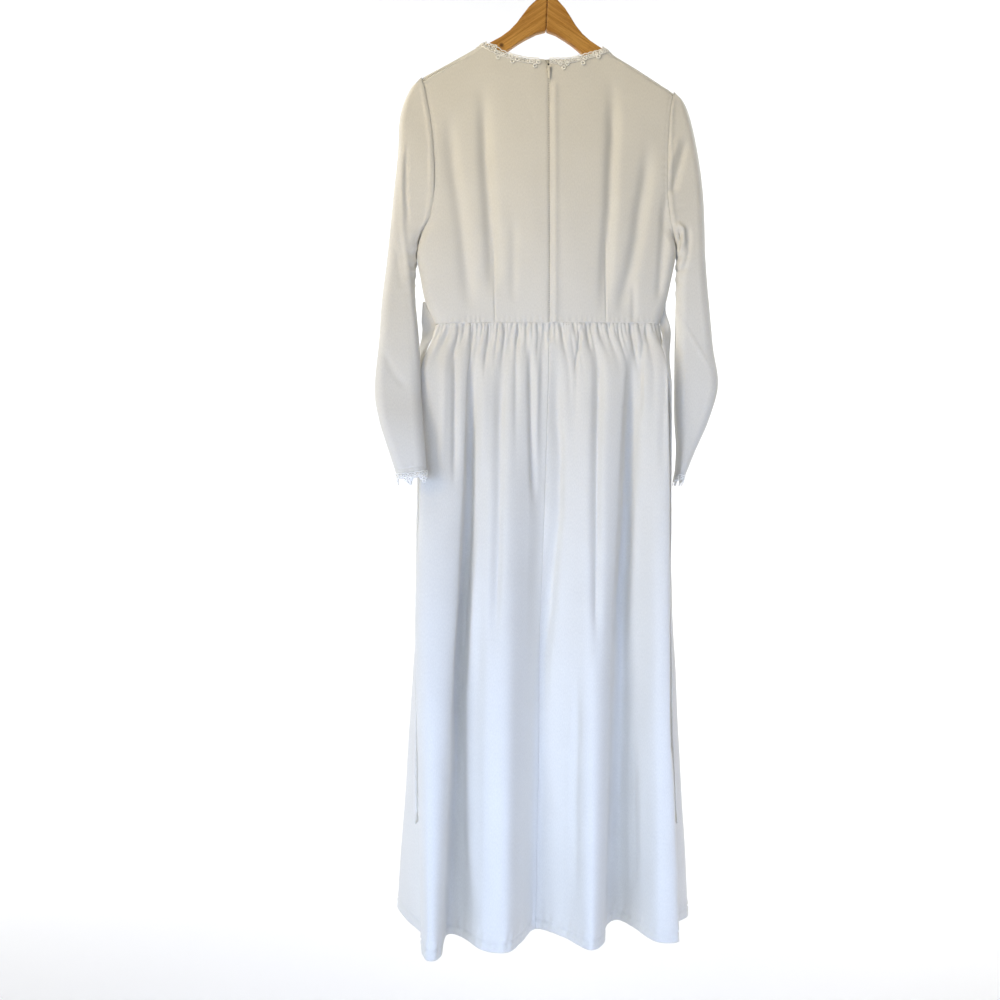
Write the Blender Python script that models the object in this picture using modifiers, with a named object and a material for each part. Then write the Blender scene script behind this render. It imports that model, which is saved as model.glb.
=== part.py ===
"""Long-sleeved lace-trimmed maxi dress on a wooden clothes hanger.

Metres, +Z up. The dress's back, with the zip, faces -Y. The origin is the inside top of the
hanger's hook, where a rod carries it. Each cut piece of cloth is a wall worked out from sections.
"""
import math

import bmesh
import bpy
from mathutils import Matrix, Vector

# Cloth and seams
CLOTH = 0.0015          # thickness of a cloth wall
SEAM = 0.0003           # gap between neighbouring pieces
LACE = 0.0014           # thickness of the lace trim

# Heights
WAIST_Z = -0.578
TOP_Z = -0.660          # below the gathers, where the folds have formed
MID_Z = -1.050
HEM_Z = -1.5407

# Waist
WAIST_LEFT = 0.1808
WAIST_RIGHT = 0.1766

# Hanger and shoulder ridge, in the hanger's own upright frame
TILT = math.radians(2.6)
TILT_SHIFT = 0.0075     # sideways shift of the shoulders that the tilt brings
NECK_X = 0.0944
NECK_RIDGE_Z = -0.1320
SHOULDER_SLOPE = 0.605
RIDGE_RADIUS = 0.0130
SEAM_TURN = math.radians(60)   # the shoulder seam lies this far over the ridge, on the back
FRONT_NECK_DROP = 0.062
NOTCH_WIDTH = 0.0080
NOTCH_Z = -0.1690
NOTCH_REACH = 0.08      # share of the half width that the turned-back corner takes

# Gathers of the skirt at the waist seam
GATHERS = 30            # on the back, and as many on the front
GATHER_DEPTH = 0.0032
FOLDLETS = 9
FOLDLET_DEPTH = 0.0040


def table(columns, *rows):
    """Rows of values as dictionaries with named columns."""
    return [dict(zip(columns, row)) for row in rows]


# Sides of the bodice, from the waist up the side seam, round the armhole to the shoulder
SIDES = table(
    ("place", "v", "left_x", "left_z", "right_x", "right_z"),
    ("waist", 0.00, 0.1808, -0.5780, 0.1766, -0.5780),
    ("tie root", 0.09, 0.1975, -0.5430, 0.1868, -0.5450),
    ("side", 0.18, 0.2052, -0.5060, 0.1950, -0.5080),
    ("underarm", 0.28, 0.2112, -0.4692, 0.2032, -0.4620),
    ("armhole low", 0.36, 0.2050, -0.4400, 0.1990, -0.4380),
    ("armhole", 0.44, 0.1900, -0.4120, 0.1925, -0.4120),
    ("armhole in", 0.55, 0.1832, -0.3700, 0.1882, -0.3720),
    ("armhole mid", 0.68, 0.1832, -0.3200, 0.1878, -0.3260),
    ("armhole high", 0.82, 0.1886, -0.2600, 0.1892, -0.2720),
    ("armhole top", 0.92, 0.1965, -0.2180, 0.1925, -0.2350),
    ("shoulder", 1.00, 0.2020, -0.1960, 0.1968, -0.2120),
)

UNDERARM_V = 0.28
ARMHOLE_OPEN_V = 0.46   # the armhole's edges are fully apart from here up
BODICE_ROWS = [0.0, 0.06, 0.13, 0.20, UNDERARM_V, 0.35, 0.41, 0.48, 0.58, 0.70, 0.82, 0.90, 0.955, 1.0]
WRAP_ROWS = 5           # rows of the front panel over the shoulder ridge

# Half depth of the bodice, at its centre and at its side
DEPTHS = table(
    ("z", "centre", "side"),
    (-0.578, 0.0250, 0.0180),
    (-0.470, 0.0280, 0.0165),
    (-0.350, 0.0240, 0.0150),
    (-0.250, 0.0170, 0.0140),
    (-0.190, 0.0135, 0.0130),
    (-0.120, 0.0130, 0.0130),
)

# Back neck edge, by distance from its own centre
NECKLINE = table(
    ("x", "z"),
    (0.000, -0.1580),
    (0.030, -0.1575),
    (0.050, -0.1530),
    (0.070, -0.1462),
    (0.086, -0.1394),
    (NECK_X, -0.1350),
)

# Sleeves: seam edge, outer edge, half depth and depth of the section's middle
LEFT_SLEEVE = table(
    ("place", "v", "in_x", "in_z", "out_x", "out_z", "half", "middle"),
    ("cap", 0.00, 0.2020, -0.1960, 0.2035, -0.1915, 0.0130, 0.000),
    ("cap 1", 0.05, 0.1965, -0.2180, 0.2235, -0.2060, 0.0132, 0.000),
    ("cap 2", 0.11, 0.1886, -0.2600, 0.2375, -0.2450, 0.0138, 0.000),
    ("arm 1", 0.18, 0.1832, -0.3200, 0.2425, -0.3080, 0.0146, 0.000),
    ("arm 2", 0.25, 0.1832, -0.3700, 0.2485, -0.3640, 0.0152, 0.000),
    ("arm 3", 0.32, 0.1900, -0.4120, 0.2530, -0.4120, 0.0158, 0.000),
    ("arm 4", 0.37, 0.2050, -0.4400, 0.2560, -0.4420, 0.0162, 0.000),
    ("underarm", 0.42, 0.2112, -0.4692, 0.2590, -0.4740, 0.0165, 0.000),
    ("upper arm", 0.52, 0.2130, -0.5350, 0.2645, -0.5350, 0.0165, -0.012),
    ("above elbow", 0.62, 0.2062, -0.6068, 0.2690, -0.6068, 0.0165, -0.026),
    ("elbow", 0.72, 0.2018, -0.6860, 0.2737, -0.6860, 0.0165, -0.040),
    ("forearm", 0.82, 0.1975, -0.7340, 0.2656, -0.7340, 0.0160, -0.057),
    ("forearm 2", 0.91, 0.1937, -0.7750, 0.2522, -0.7750, 0.0155, -0.068),
    ("cuff", 1.00, 0.1905, -0.8170, 0.2360, -0.8220, 0.0150, -0.076),
)
RIGHT_SLEEVE = table(
    ("place", "v", "in_x", "in_z", "out_x", "out_z", "half", "middle"),
    ("cap", 0.00, 0.1968, -0.2120, 0.1985, -0.2080, 0.0130, 0.000),
    ("cap 1", 0.05, 0.1925, -0.2350, 0.2160, -0.2240, 0.0132, 0.000),
    ("cap 2", 0.11, 0.1892, -0.2720, 0.2290, -0.2600, 0.0138, 0.000),
    ("arm 1", 0.18, 0.1878, -0.3260, 0.2405, -0.3180, 0.0146, 0.000),
    ("arm 2", 0.25, 0.1882, -0.3720, 0.2465, -0.3680, 0.0152, 0.000),
    ("arm 3", 0.32, 0.1925, -0.4120, 0.2488, -0.4130, 0.0158, 0.000),
    ("arm 4", 0.37, 0.1990, -0.4380, 0.2496, -0.4420, 0.0162, 0.000),
    ("underarm", 0.42, 0.2032, -0.4620, 0.2505, -0.4720, 0.0165, 0.000),
    ("upper arm", 0.52, 0.2090, -0.5350, 0.2570, -0.5350, 0.0165, 0.010),
    ("above elbow", 0.62, 0.2115, -0.6068, 0.2655, -0.6068, 0.0165, 0.018),
    ("elbow", 0.72, 0.2115, -0.6720, 0.2745, -0.6700, 0.0165, 0.022),
    ("forearm", 0.82, 0.2100, -0.7284, 0.2595, -0.7284, 0.0175, 0.024),
    ("forearm 2", 0.91, 0.2080, -0.7760, 0.2385, -0.7760, 0.0195, 0.024),
    ("cuff", 1.00, 0.2055, -0.8220, 0.2190, -0.8220, 0.0215, 0.024),
)

SLEEVE_UNDERARM = 0.42
SLEEVE_BEND = 0.14      # share of the section taken by the bend at the seam
SLEEVE_EDGE = 0.36      # share at which the outer edge's rounding begins
SLEEVE_ROWS = 9         # rows below the underarm

# Folds of the skirt round its ring: u from 0 at the left side seam over the back to 1 at the
# right one, and over the front to 2; x below the gathers, at mid height and at the hem
FOLDS = table(
    ("fold", "u", "x_top", "x_mid", "x_hem", "y_hem"),
    ("left seam", 0.000, -0.1935, -0.1965, -0.1990, -0.0330),
    ("left lobe edge", 0.050, -0.1995, -0.2088, -0.1985, -0.0881),
    ("left lobe", 0.110, -0.1700, -0.1850, -0.1850, -0.1270),
    ("left lobe in", 0.180, -0.1290, -0.1460, -0.1655, -0.1060),
    ("valley A", 0.205, -0.1220, -0.1400, -0.1615, -0.0345),
    ("A rise", 0.235, -0.1120, -0.1270, -0.1400, -0.0400),
    ("lobe 2 out", 0.300, -0.0860, -0.0970, -0.1060, -0.0900),
    ("lobe 2", 0.360, -0.0600, -0.0660, -0.0679, -0.0990),
    ("lobe 2 in", 0.430, -0.0300, -0.0380, -0.0445, -0.0600),
    ("centre seam", 0.500, -0.0010, -0.0135, -0.0215, -0.0095),
    ("lobe 3 out", 0.565, 0.0300, 0.0180, 0.0180, -0.0380),
    ("lobe 3", 0.680, 0.0790, 0.0650, 0.0580, -0.0890),
    ("B crest", 0.755, 0.1150, 0.0960, 0.0830, -0.0600),
    ("B flank", 0.800, 0.1260, 0.1060, 0.0919, 0.0040),
    ("valley B", 0.835, 0.1380, 0.1180, 0.1120, 0.0270),
    ("lobe 4 out", 0.872, 0.1510, 0.1360, 0.1326, -0.0012),
    ("lobe 4", 0.925, 0.1700, 0.1640, 0.1640, -0.0590),
    ("lobe 4 edge", 0.960, 0.1855, 0.1840, 0.1985, -0.0570),
    ("right seam", 1.000, 0.1870, 0.1840, 0.1935, -0.0020),
    ("front lobe 1", 1.045, 0.1890, 0.2025, 0.2310, 0.0479),
    ("front lobe 1 out", 1.085, 0.1780, 0.1920, 0.2140, 0.0950),
    ("front lobe 1 in", 1.125, 0.1580, 0.1680, 0.1770, 0.1120),
    ("front valley 1", 1.165, 0.1380, 0.1420, 0.1450, 0.0600),
    ("front rise 1", 1.215, 0.1180, 0.1190, 0.1180, 0.0500),
    ("front lobe 2 out", 1.285, 0.0900, 0.0920, 0.0900, 0.0980),
    ("front lobe 2", 1.353, 0.0600, 0.0600, 0.0580, 0.1180),
    ("front lobe 2 in", 1.420, 0.0320, 0.0310, 0.0300, 0.0850),
    ("front valley 2", 1.497, -0.0010, 0.0010, 0.0040, 0.0450),
    ("front rise 2", 1.570, -0.0320, -0.0310, -0.0300, 0.0650),
    ("front lobe 3", 1.648, -0.0650, -0.0660, -0.0660, 0.1220),
    ("front lobe 3 in", 1.720, -0.0950, -0.0980, -0.1000, 0.1000),
    ("front valley 3", 1.790, -0.1240, -0.1270, -0.1280, 0.0480),
    ("front rise 3", 1.847, -0.1480, -0.1530, -0.1580, 0.0600),
    ("front lobe 4", 1.900, -0.1730, -0.1820, -0.1950, 0.1180),
    ("front lobe 4 out", 1.935, -0.1880, -0.2050, -0.2320, 0.1180),
    ("front lobe 4 edge", 1.960, -0.1965, -0.2150, -0.2520, 0.0910),
    ("front return", 1.982, -0.1960, -0.2070, -0.2300, 0.0271),
    ("left seam again", 2.000, -0.1935, -0.1965, -0.1990, -0.0330),
)

# How the folds grow downward: share of their hem depth, and the mean depth of back and front
GROWTH = table(
    ("z", "share", "back_y", "front_y"),
    (HEM_Z, 1.00, -0.0500, 0.0850),
    (-1.300, 0.78, -0.0440, 0.0680),
    (MID_Z, 0.52, -0.0370, 0.0500),
    (-0.850, 0.30, -0.0310, 0.0370),
    (TOP_Z, 0.10, -0.0260, 0.0270),
    (WAIST_Z, 0.00, -0.0230, 0.0230),
)

# Ties: middle, width and turn of the strip at each height
LEFT_TIE = table(
    ("place", "z", "x", "y", "width", "turn"),
    ("seam top", -0.5410, -0.2012, 0.0000, 0.0020, 0),
    ("root 1", -0.5570, -0.1990, 0.0000, 0.0140, 0),
    ("root 2", -0.5730, -0.1975, 0.0000, 0.0240, 4),
    ("root 3", -0.5850, -0.1980, 0.0010, 0.0240, 14),
    ("bend 1", -0.5970, -0.2020, 0.0040, 0.0240, 44),
    ("bend 2", -0.6120, -0.2065, 0.0080, 0.0235, 62),
    ("hang 1", -0.6400, -0.2095, 0.0095, 0.0230, 72),
    ("hang 2", -0.8500, -0.2095, 0.0020, 0.0225, 73),
    ("hang 3", -1.0200, -0.2108, -0.0110, 0.0225, 74),
    ("hang 4", -1.1800, -0.2118, -0.0190, 0.0225, 74),
    ("hang 5", -1.3200, -0.2118, -0.0240, 0.0230, 66),
    ("tip side", -1.3450, -0.2110, -0.0240, 0.0230, 64),
    ("tip", -1.3690, -0.2110, -0.0240, 0.0024, 64),
)
RIGHT_TIE = table(
    ("place", "z", "x", "y", "width", "turn"),
    ("seam top", -0.5450, 0.1889, 0.0000, 0.0020, 0),
    ("root 1", -0.5570, 0.1869, 0.0000, 0.0068, 0),
    ("root 2", -0.5730, 0.1862, 0.0000, 0.0140, 0),
    ("root 3", -0.5850, 0.1878, -0.0010, 0.0180, -24),
    ("bend 1", -0.5970, 0.1905, -0.0040, 0.0210, -50),
    ("bend 2", -0.6120, 0.1920, -0.0070, 0.0220, -58),
    ("hang 1", -0.6400, 0.1945, -0.0110, 0.0220, -70),
    ("hang 2", -0.7200, 0.1955, -0.0140, 0.0215, -78),
    ("hang 3", -0.8500, 0.1955, -0.0150, 0.0215, -78),
    ("hang 4", -1.0200, 0.1935, -0.0180, 0.0215, -78),
    ("hang 5", -1.1800, 0.1965, -0.0200, 0.0215, -78),
    ("hang 6", -1.3200, 0.2015, -0.0210, 0.0220, -76),
    ("tip side", -1.3450, 0.2025, -0.0210, 0.0220, -76),
    ("tip", -1.3690, 0.2032, -0.0210, 0.0024, -76),
)
TIE_THICK = 0.0020
TIE_STEP = 0.035        # greatest height of one stretch of a tie

# Hanger: half outline in its own frame, upper edge then lower edge
HANGER_HALF_DEPTH = 0.0055
HANGER_EDGE = 0.0020
HANGER_UNDER_RIDGE = 0.0032    # from the ridge's outside down to the wood
BOSS_TOP_Z = -0.0510
HANGER_UPPER = table(
    ("x", "z"),
    (0.0075, BOSS_TOP_Z),
    (0.0125, -0.0545),
    (0.0190, -0.0615),
    (0.0290, -0.0716),
    (0.0380, -0.0845),
    (0.0475, -0.0985),
    (0.0585, -0.1110),
    (0.0715, -0.1215),
    (0.0830, -0.1285),
)
HANGER_END = table(
    ("x", "z"),
    (0.1860, -0.1925),
    (0.1880, -0.2005),
    (0.1850, -0.2090),
    (0.1775, -0.2130),
)
HANGER_LOWER = table(
    ("x", "z"),
    (0.1600, -0.2045),
    (0.1300, -0.1865),
    (0.1000, -0.1690),
    (0.0780, -0.1555),
    (0.0590, -0.1425),
    (0.0440, -0.1310),
    (0.0300, -0.1220),
    (0.0150, -0.1138),
    (0.0000, -0.1092),
)

# Hook: a question mark of round wire
WIRE = 0.0017
LOOP_RADIUS = 0.0190    # of the wire's middle line
HOOK_SINK = 0.0070      # depth of the hook's socket in the wood

# Zip
TAPE_HALF_WIDTH = 0.0110
TAPE_THICK = 0.0010
TAPE_TOP_Z = -0.1640
TAPE_FOOT_Z = -0.5700
SLIDER_X = -0.0012
SLIDER_Z = -0.1735
SLIDER_WIDTH = 0.0056
SLIDER_DEPTH = 0.0020
SLIDER_HEIGHT = 0.0085
PIN_Z = -0.1710
PIN_RADIUS = 0.0005
PIN_OUT = 0.0021        # from the slider's face to the middle of the pin
LUG_X = 0.0024
LUG_WIDTH = 0.0008
LUG_REACH = 0.0028
LUG_HEIGHT = 0.0026
BARREL_RADIUS = 0.0012  # of the tab's upper end, which turns on the pin
EYE_RADIUS = 0.0008
TAB_LENGTH = 0.0180     # from the pin to the tab's lower end
TAB_WIDTH = 0.0032
TAB_THICK = 0.0010
TAB_EDGE = 0.0002

# Lace: band, clusters of three rings
BAND = 0.0070
CLUSTER_PITCH = 0.0300
RING = 0.0034           # outer radius of one ring
LACE_GAP = 0.0008       # from the cloth's face to the trim
LACE_END_TURN = 0.06    # the front trim ends this far over the ridge before the back one
LACE_STEP = 0.0012      # least distance between two of its columns
LACE_ABOVE = 0.0010     # the trim stands this much above the neck edge
CUFF_PITCH = 0.0270
CUFF_BAND = 0.0060      # below the sleeve's end, between the clusters
CUFF_LACE_W = 0.985     # the trim starts here on the sleeve

COLOURS = {
    "cloth": ((0.66, 0.63, 0.55, 1.0), 0.55, 0.0),
    "lace": ((0.74, 0.70, 0.60, 1.0), 0.75, 0.0),
    "wood": ((0.42, 0.21, 0.055, 1.0), 0.45, 0.0),
    "steel": ((0.62, 0.62, 0.63, 1.0), 0.28, 1.0),
    "zip": ((0.78, 0.75, 0.66, 1.0), 0.40, 0.0),
}


def clamp(value):
    return max(0.0, min(1.0, value))


def ease(value):
    value = clamp(value)
    return value * value * (3.0 - 2.0 * value)


def mix(a, b, share):
    return a + (b - a) * share


def along(rows, key, at, column):
    """Smooth curve through a column of a table, read at a value of its key column."""
    keys = [row[key] for row in rows]
    values = [row[column] for row in rows]
    if keys[0] > keys[-1]:
        keys.reverse()
        values.reverse()
    if at <= keys[0]:
        return values[0]
    if at >= keys[-1]:
        return values[-1]
    i = max(k for k in range(len(keys) - 1) if keys[k] <= at)
    span = keys[i + 1] - keys[i]

    def slope(k):
        low, high = max(k - 1, 0), min(k + 1, len(keys) - 1)
        return (values[high] - values[low]) / (keys[high] - keys[low])

    t = (at - keys[i]) / span
    a, b = values[i], values[i + 1]
    ma, mb = slope(i) * span, slope(i + 1) * span
    return (
        a * (2 * t**3 - 3 * t**2 + 1)
        + ma * (t**3 - 2 * t**2 + t)
        + b * (3 * t**2 - 2 * t**3)
        + mb * (t**3 - t**2)
    )


def spread(first, last, count):
    return [first + (last - first) * i / count for i in range(count + 1)]


def ridge_z(x):
    """Height of the shoulder ridge in the world, along the tilted hanger's arms."""
    local_x = x + TILT_SHIFT
    local_z = NECK_RIDGE_Z - SHOULDER_SLOPE * (abs(local_x) - NECK_X)
    return local_z * math.cos(TILT) - local_x * math.sin(TILT)


def normal_at(point, u, v, step_u, step_v):
    across = point(u + step_u, v) - point(u - step_u, v)
    up = point(u, v + step_v) - point(u, v - step_v)
    return across.cross(up).normalized()


def new_object(name, mesh, material, collection):
    obj = bpy.data.objects.new(name, mesh)
    mesh.materials.append(material)
    collection.objects.link(obj)
    return obj


def turn_outward(mesh):
    build = bmesh.new()
    build.from_mesh(mesh)
    bmesh.ops.recalc_face_normals(build, faces=build.faces)
    bmesh.ops.triangulate(build, faces=build.faces)
    build.to_mesh(mesh)
    build.free()


def closed_wall(name, outer, inner, material, collection, ring=False, kept=None):
    """A closed wall between two grids of points, rows of columns.

    A ring joins its last column to its first. kept(row, column) says which cells are cloth.
    """
    rows, columns = len(outer), len(outer[0])
    spans = columns if ring else columns - 1
    used = {}
    points = []
    faces = []

    def at(skin, row, column):
        key = (skin, row, column % columns)
        if key not in used:
            used[key] = len(points)
            points.append((outer if skin == 0 else inner)[row][column % columns])
        return used[key]

    def cloth(row, column):
        if ring:
            column %= columns
        inside = 0 <= row < rows - 1 and 0 <= column < spans
        return inside and (kept is None or kept(row, column))

    def rim(first, second):
        faces.append((at(0, *second), at(0, *first), at(1, *first), at(1, *second)))

    for r in range(rows - 1):
        for c in range(spans):
            if not cloth(r, c):
                continue
            corners = ((r, c), (r, c + 1), (r + 1, c + 1), (r + 1, c))
            faces.append(tuple(at(0, *corner) for corner in corners))
            faces.append(tuple(at(1, *corner) for corner in reversed(corners)))
            beside = ((r - 1, c), (r, c + 1), (r + 1, c), (r, c - 1))
            for side, neighbour in enumerate(beside):
                if not cloth(*neighbour):
                    rim(corners[side], corners[(side + 1) % 4])
    mesh = bpy.data.meshes.new(name)
    mesh.from_pydata(points, [], faces)
    turn_outward(mesh)
    mesh.shade_smooth()
    mesh.set_sharp_from_angle(angle=math.radians(50))
    return new_object(name, mesh, material, collection)


def cloth_panel(name, point, normal, us, vs, look, gaps=(1, 1, 1, 1), kept=None):
    """A cut piece: outer points from a surface, inner ones a cloth's thickness inside.

    gaps says which edges (first column, last column, first row, last row) lie at a seam.
    look holds the material and the collection.
    """
    outer, inner = [], []
    last_u, last_v = len(us) - 1, len(vs) - 1
    for j, v in enumerate(vs):
        outer_row, inner_row = [], []
        for i, u in enumerate(us):
            place = point(u, v)
            toward = []
            if i == 0 and gaps[0]:
                toward.append(point(us[1], v))
            if i == last_u and gaps[1]:
                toward.append(point(us[-2], v))
            if j == 0 and gaps[2]:
                toward.append(point(u, vs[1]))
            if j == last_v and gaps[3]:
                toward.append(point(u, vs[-2]))
            moved = place.copy()
            for other in toward:
                moved += (other - place).normalized() * SEAM / 2
            outer_row.append(moved)
            inner_row.append(moved - normal(u, v) * CLOTH)
        outer.append(outer_row)
        inner.append(inner_row)
    return closed_wall(name, outer, inner, *look, kept=kept)


# Bodice

def half_depth(x, edge_x, z):
    """Half depth of the bodice at a distance x from its centre."""
    bow = 1.0 - (x / edge_x) ** 2
    side = along(DEPTHS, "z", z, "side")
    return side + (along(DEPTHS, "z", z, "centre") - side) * bow


def armhole_closing(v):
    """1 where the section closes at the side seam, falling to 0 above the underarm."""
    return 1.0 - ease((v - UNDERARM_V) / (ARMHOLE_OPEN_V - UNDERARM_V))


def edge_of(side, v):
    key = "left" if side < 0 else "right"
    return along(SIDES, "v", v, key + "_x"), along(SIDES, "v", v, key + "_z")


def neck_share(side):
    """Share of the half width at which the neck point lies."""
    neck_x = NECK_X + (TILT_SHIFT if side < 0 else -TILT_SHIFT)
    return neck_x / edge_of(side, 1.0)[0]


def back_top_z(side, q):
    """Height of the back's upper edge: the neck edge, then the shoulder seam."""
    x = side * q * edge_of(side, 1.0)[0]
    seam_z = ridge_z(x) - RIDGE_RADIUS * (1.0 - math.cos(SEAM_TURN))
    if q >= neck_share(side):
        return seam_z
    reach = q / neck_share(side)
    neck_point = ridge_z(side * neck_share(side) * edge_of(side, 1.0)[0])
    neck_point -= RIDGE_RADIUS * (1.0 - math.cos(SEAM_TURN))
    table_end = NECKLINE[-1]["z"]
    edge_z = along(NECKLINE, "x", reach * NECK_X, "z")
    return edge_z + (neck_point - table_end) * reach**3


ARC_FROM = 0.86         # share of the half width where the side's rounding begins


def body_xy(side, q, v, z):
    """Section of the bodice, q from 0 at the centre to 1 at the edge, for a height z."""
    edge_x = edge_of(side, v)[0]
    closing = armhole_closing(v)
    radius = along(DEPTHS, "z", z, "side")
    open_x = q * edge_x
    open_y = half_depth(open_x, edge_x, z)
    if q < ARC_FROM:
        shut_x = q / ARC_FROM * (edge_x - radius)
        shut_y = half_depth(shut_x, edge_x, z)
    else:
        turn = (q - ARC_FROM) / (1.0 - ARC_FROM) * math.pi / 2
        shut_x = edge_x - radius + radius * math.sin(turn)
        start = half_depth(edge_x - radius, edge_x, z)
        shut_y = start * math.cos(turn)
    return mix(open_x, shut_x, closing), mix(open_y, shut_y, closing)


def ridge_factor(x, z):
    """Narrows the depth to nothing over the last stretch below the shoulder ridge."""
    below = ridge_z(x) - z
    if below >= RIDGE_RADIUS:
        return 1.0
    return math.sqrt(max(0.0, 1.0 - (1.0 - below / RIDGE_RADIUS) ** 2))


def back_point(side):
    def point(q, v):
        foot = WAIST_Z
        top = back_top_z(side, q)
        edge_z = edge_of(side, v)[1]
        share = (edge_z - foot) / (edge_of(side, 1.0)[1] - foot)
        z = foot + share * (top - foot)
        x, y = body_xy(side, q, v, z)
        if side < 0:
            rise = clamp((z - NOTCH_Z) / (NECKLINE[0]["z"] - NOTCH_Z))
            x += NOTCH_WIDTH * rise * clamp(1.0 - q / NOTCH_REACH)
        return Vector((side * x, -y * ridge_factor(side * x, z), z))
    return point


def front_neck_z(side, q):
    """Height of the front neck edge, a round scoop."""
    reach = clamp(q / neck_share(side))
    neck_z = ridge_z(side * neck_share(side) * edge_of(side, 1.0)[0])
    bottom = NECK_RIDGE_Z - FRONT_NECK_DROP
    return bottom + (neck_z - bottom) * (1.0 - math.sqrt(1.0 - reach**2.4))


def front_point(q_signed, v):
    """Front panel: q from -1 at the left edge to 1 at the right one; above v = 1 it wraps
    over the shoulder ridge to the seam on the back."""
    side = -1 if q_signed < 0 else 1
    q = abs(q_signed)
    foot = WAIST_Z
    level = min(v, 1.0)
    x_top = side * q * edge_of(side, 1.0)[0]
    wraps = q >= neck_share(side) - 1e-9
    top = ridge_z(x_top) - RIDGE_RADIUS
    if not wraps:
        top = min(top, front_neck_z(side, q))
    edge_z = edge_of(side, level)[1]
    share = (edge_z - foot) / (edge_of(side, 1.0)[1] - foot)
    z = foot + share * (top - foot)
    x, y = body_xy(side, q, level, z)
    y *= ridge_factor(side * x, z)
    if v > 1.0 and wraps:
        turn = (v - 1.0) * (math.pi / 2 + SEAM_TURN)
        z = ridge_z(x_top) - RIDGE_RADIUS * (1.0 - math.sin(turn))
        y = RIDGE_RADIUS * math.cos(turn)
    return Vector((side * x, y, z))


def bodice_normal(point, outward, edge_share):
    """Outward normals of a bodice panel. At the armhole they lie across the seam, and at the
    waist they lie level, so that the walls of both pieces end face to face."""
    def normal(u, v):
        n = normal_at(point, u, v, 0.002, 0.002) * outward
        if edge_share(u) > 0.999 and v > UNDERARM_V + 0.001:
            n.x = 0.0
        if v < 0.001:
            n.z = 0.0
        return n.normalized()
    return normal


def make_bodice(look):
    for side, name in ((-1, "bodice_back_left"), (1, "bodice_back_right")):
        point = back_point(side)
        neck = neck_share(side)
        qs = spread(0.0, neck, 5) + spread(neck, ARC_FROM, 3)[1:] + spread(ARC_FROM, 1.0, 4)[1:]
        normal = bodice_normal(point, side, lambda q: q)
        cloth_panel(name, point, normal, qs, BODICE_ROWS, look)
    left, right = neck_share(-1), neck_share(1)
    qs = spread(-1.0, -ARC_FROM, 4) + spread(-ARC_FROM, -left, 3)[1:]
    qs += spread(-left, 0.0, 6)[1:] + spread(0.0, right, 6)[1:]
    qs += spread(right, ARC_FROM, 3)[1:] + spread(ARC_FROM, 1.0, 4)[1:]
    rows = BODICE_ROWS + spread(1.0, 2.0, WRAP_ROWS)[1:]

    def kept(row, column):
        shoulder = qs[column + 1] <= -left + 1e-6 or qs[column] >= right - 1e-6
        return shoulder or row < len(BODICE_ROWS) - 1

    normal = bodice_normal(front_point, -1, abs)
    cloth_panel("bodice_front", front_point, normal, qs, rows, look, kept=kept)


# Skirt

def stadium(q, left, right, radius):
    """Back half of a flat ring with round ends, q from 0 at the left end to 1 at the right."""
    arc = math.pi * radius / 2
    straight = left + right - 2 * radius
    s = q * (2 * arc + straight)
    if s < arc:
        turn = s / radius
        return -left + radius * (1.0 - math.cos(turn)), -radius * math.sin(turn)
    if s < arc + straight:
        return -left + radius + s - arc, -radius
    turn = (s - arc - straight) / radius
    return right - radius + radius * math.sin(turn), -radius * math.cos(turn)


def waist_xy(u):
    """Ring at the waist seam, as deep as the bodice is there."""
    radius = DEPTHS[0]["side"]
    q = u if u <= 1.0 else 2.0 - u
    x, y = stadium(clamp(q), WAIST_LEFT, WAIST_RIGHT, radius)
    edge_x = WAIST_LEFT if x < 0 else WAIST_RIGHT
    y *= half_depth(x, edge_x, WAIST_Z) / radius
    return x, (y if u <= 1.0 else -y)


def fold_xy(u, z):
    """Ring of the folded skirt at a height below the gathers."""
    rows = []
    grown = along(GROWTH, "z", z, "share")
    for fold in FOLDS:
        if z >= MID_Z:
            x = mix(fold["x_mid"], fold["x_top"], clamp((z - MID_Z) / (TOP_Z - MID_Z)))
        else:
            x = mix(fold["x_mid"], fold["x_hem"], (MID_Z - z) / (MID_Z - HEM_Z))
        facing = "back_y" if fold["u"] < 1.0 else "front_y"
        mean = along(GROWTH, "z", z, facing)
        hem_mean = GROWTH[0][facing]
        seam = fold["fold"] in ("left seam", "right seam", "left seam again")
        y = fold["y_hem"] * grown if seam else mean + (fold["y_hem"] - hem_mean) * grown
        rows.append({"u": fold["u"], "x": x, "y": y})
    u = u % 2.0
    before = dict(rows[-2], u=rows[-2]["u"] - 2.0)
    after = dict(rows[1], u=rows[1]["u"] + 2.0)
    ring = [before] + rows + [after]
    return along(ring, "u", u, "x"), along(ring, "u", u, "y")


def skirt_point(u, z):
    x, y = fold_xy(u, z)
    waist_x, waist_y = waist_xy(u % 2.0)
    share = ease((WAIST_Z - z) / (WAIST_Z - TOP_Z))
    x, y = mix(waist_x, x, share), mix(waist_y, y, share)
    flat = clamp(abs(waist_y) / DEPTHS[0]["side"]) ** 2
    away = -1.0 if y < 0 else 1.0
    fall = WAIST_Z - z
    small = ease(fall / 0.007) * (1.0 - ease((fall - 0.020) / 0.060))
    uneven = 0.85 + 0.15 * math.sin(11.0 * u + 0.7)
    y += away * flat * GATHER_DEPTH * small * uneven * math.cos(2 * math.pi * GATHERS * u)
    broad = ease((fall - 0.020) / 0.080) * (1.0 - ease((fall - 0.150) / 0.350))
    y += away * flat * FOLDLET_DEPTH * broad * math.cos(2 * math.pi * FOLDLETS * u + 0.9)
    return Vector((x, y, z))


def skirt_normal(u, z):
    return normal_at(skirt_point, u, z, 0.0015, 0.002)


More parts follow.
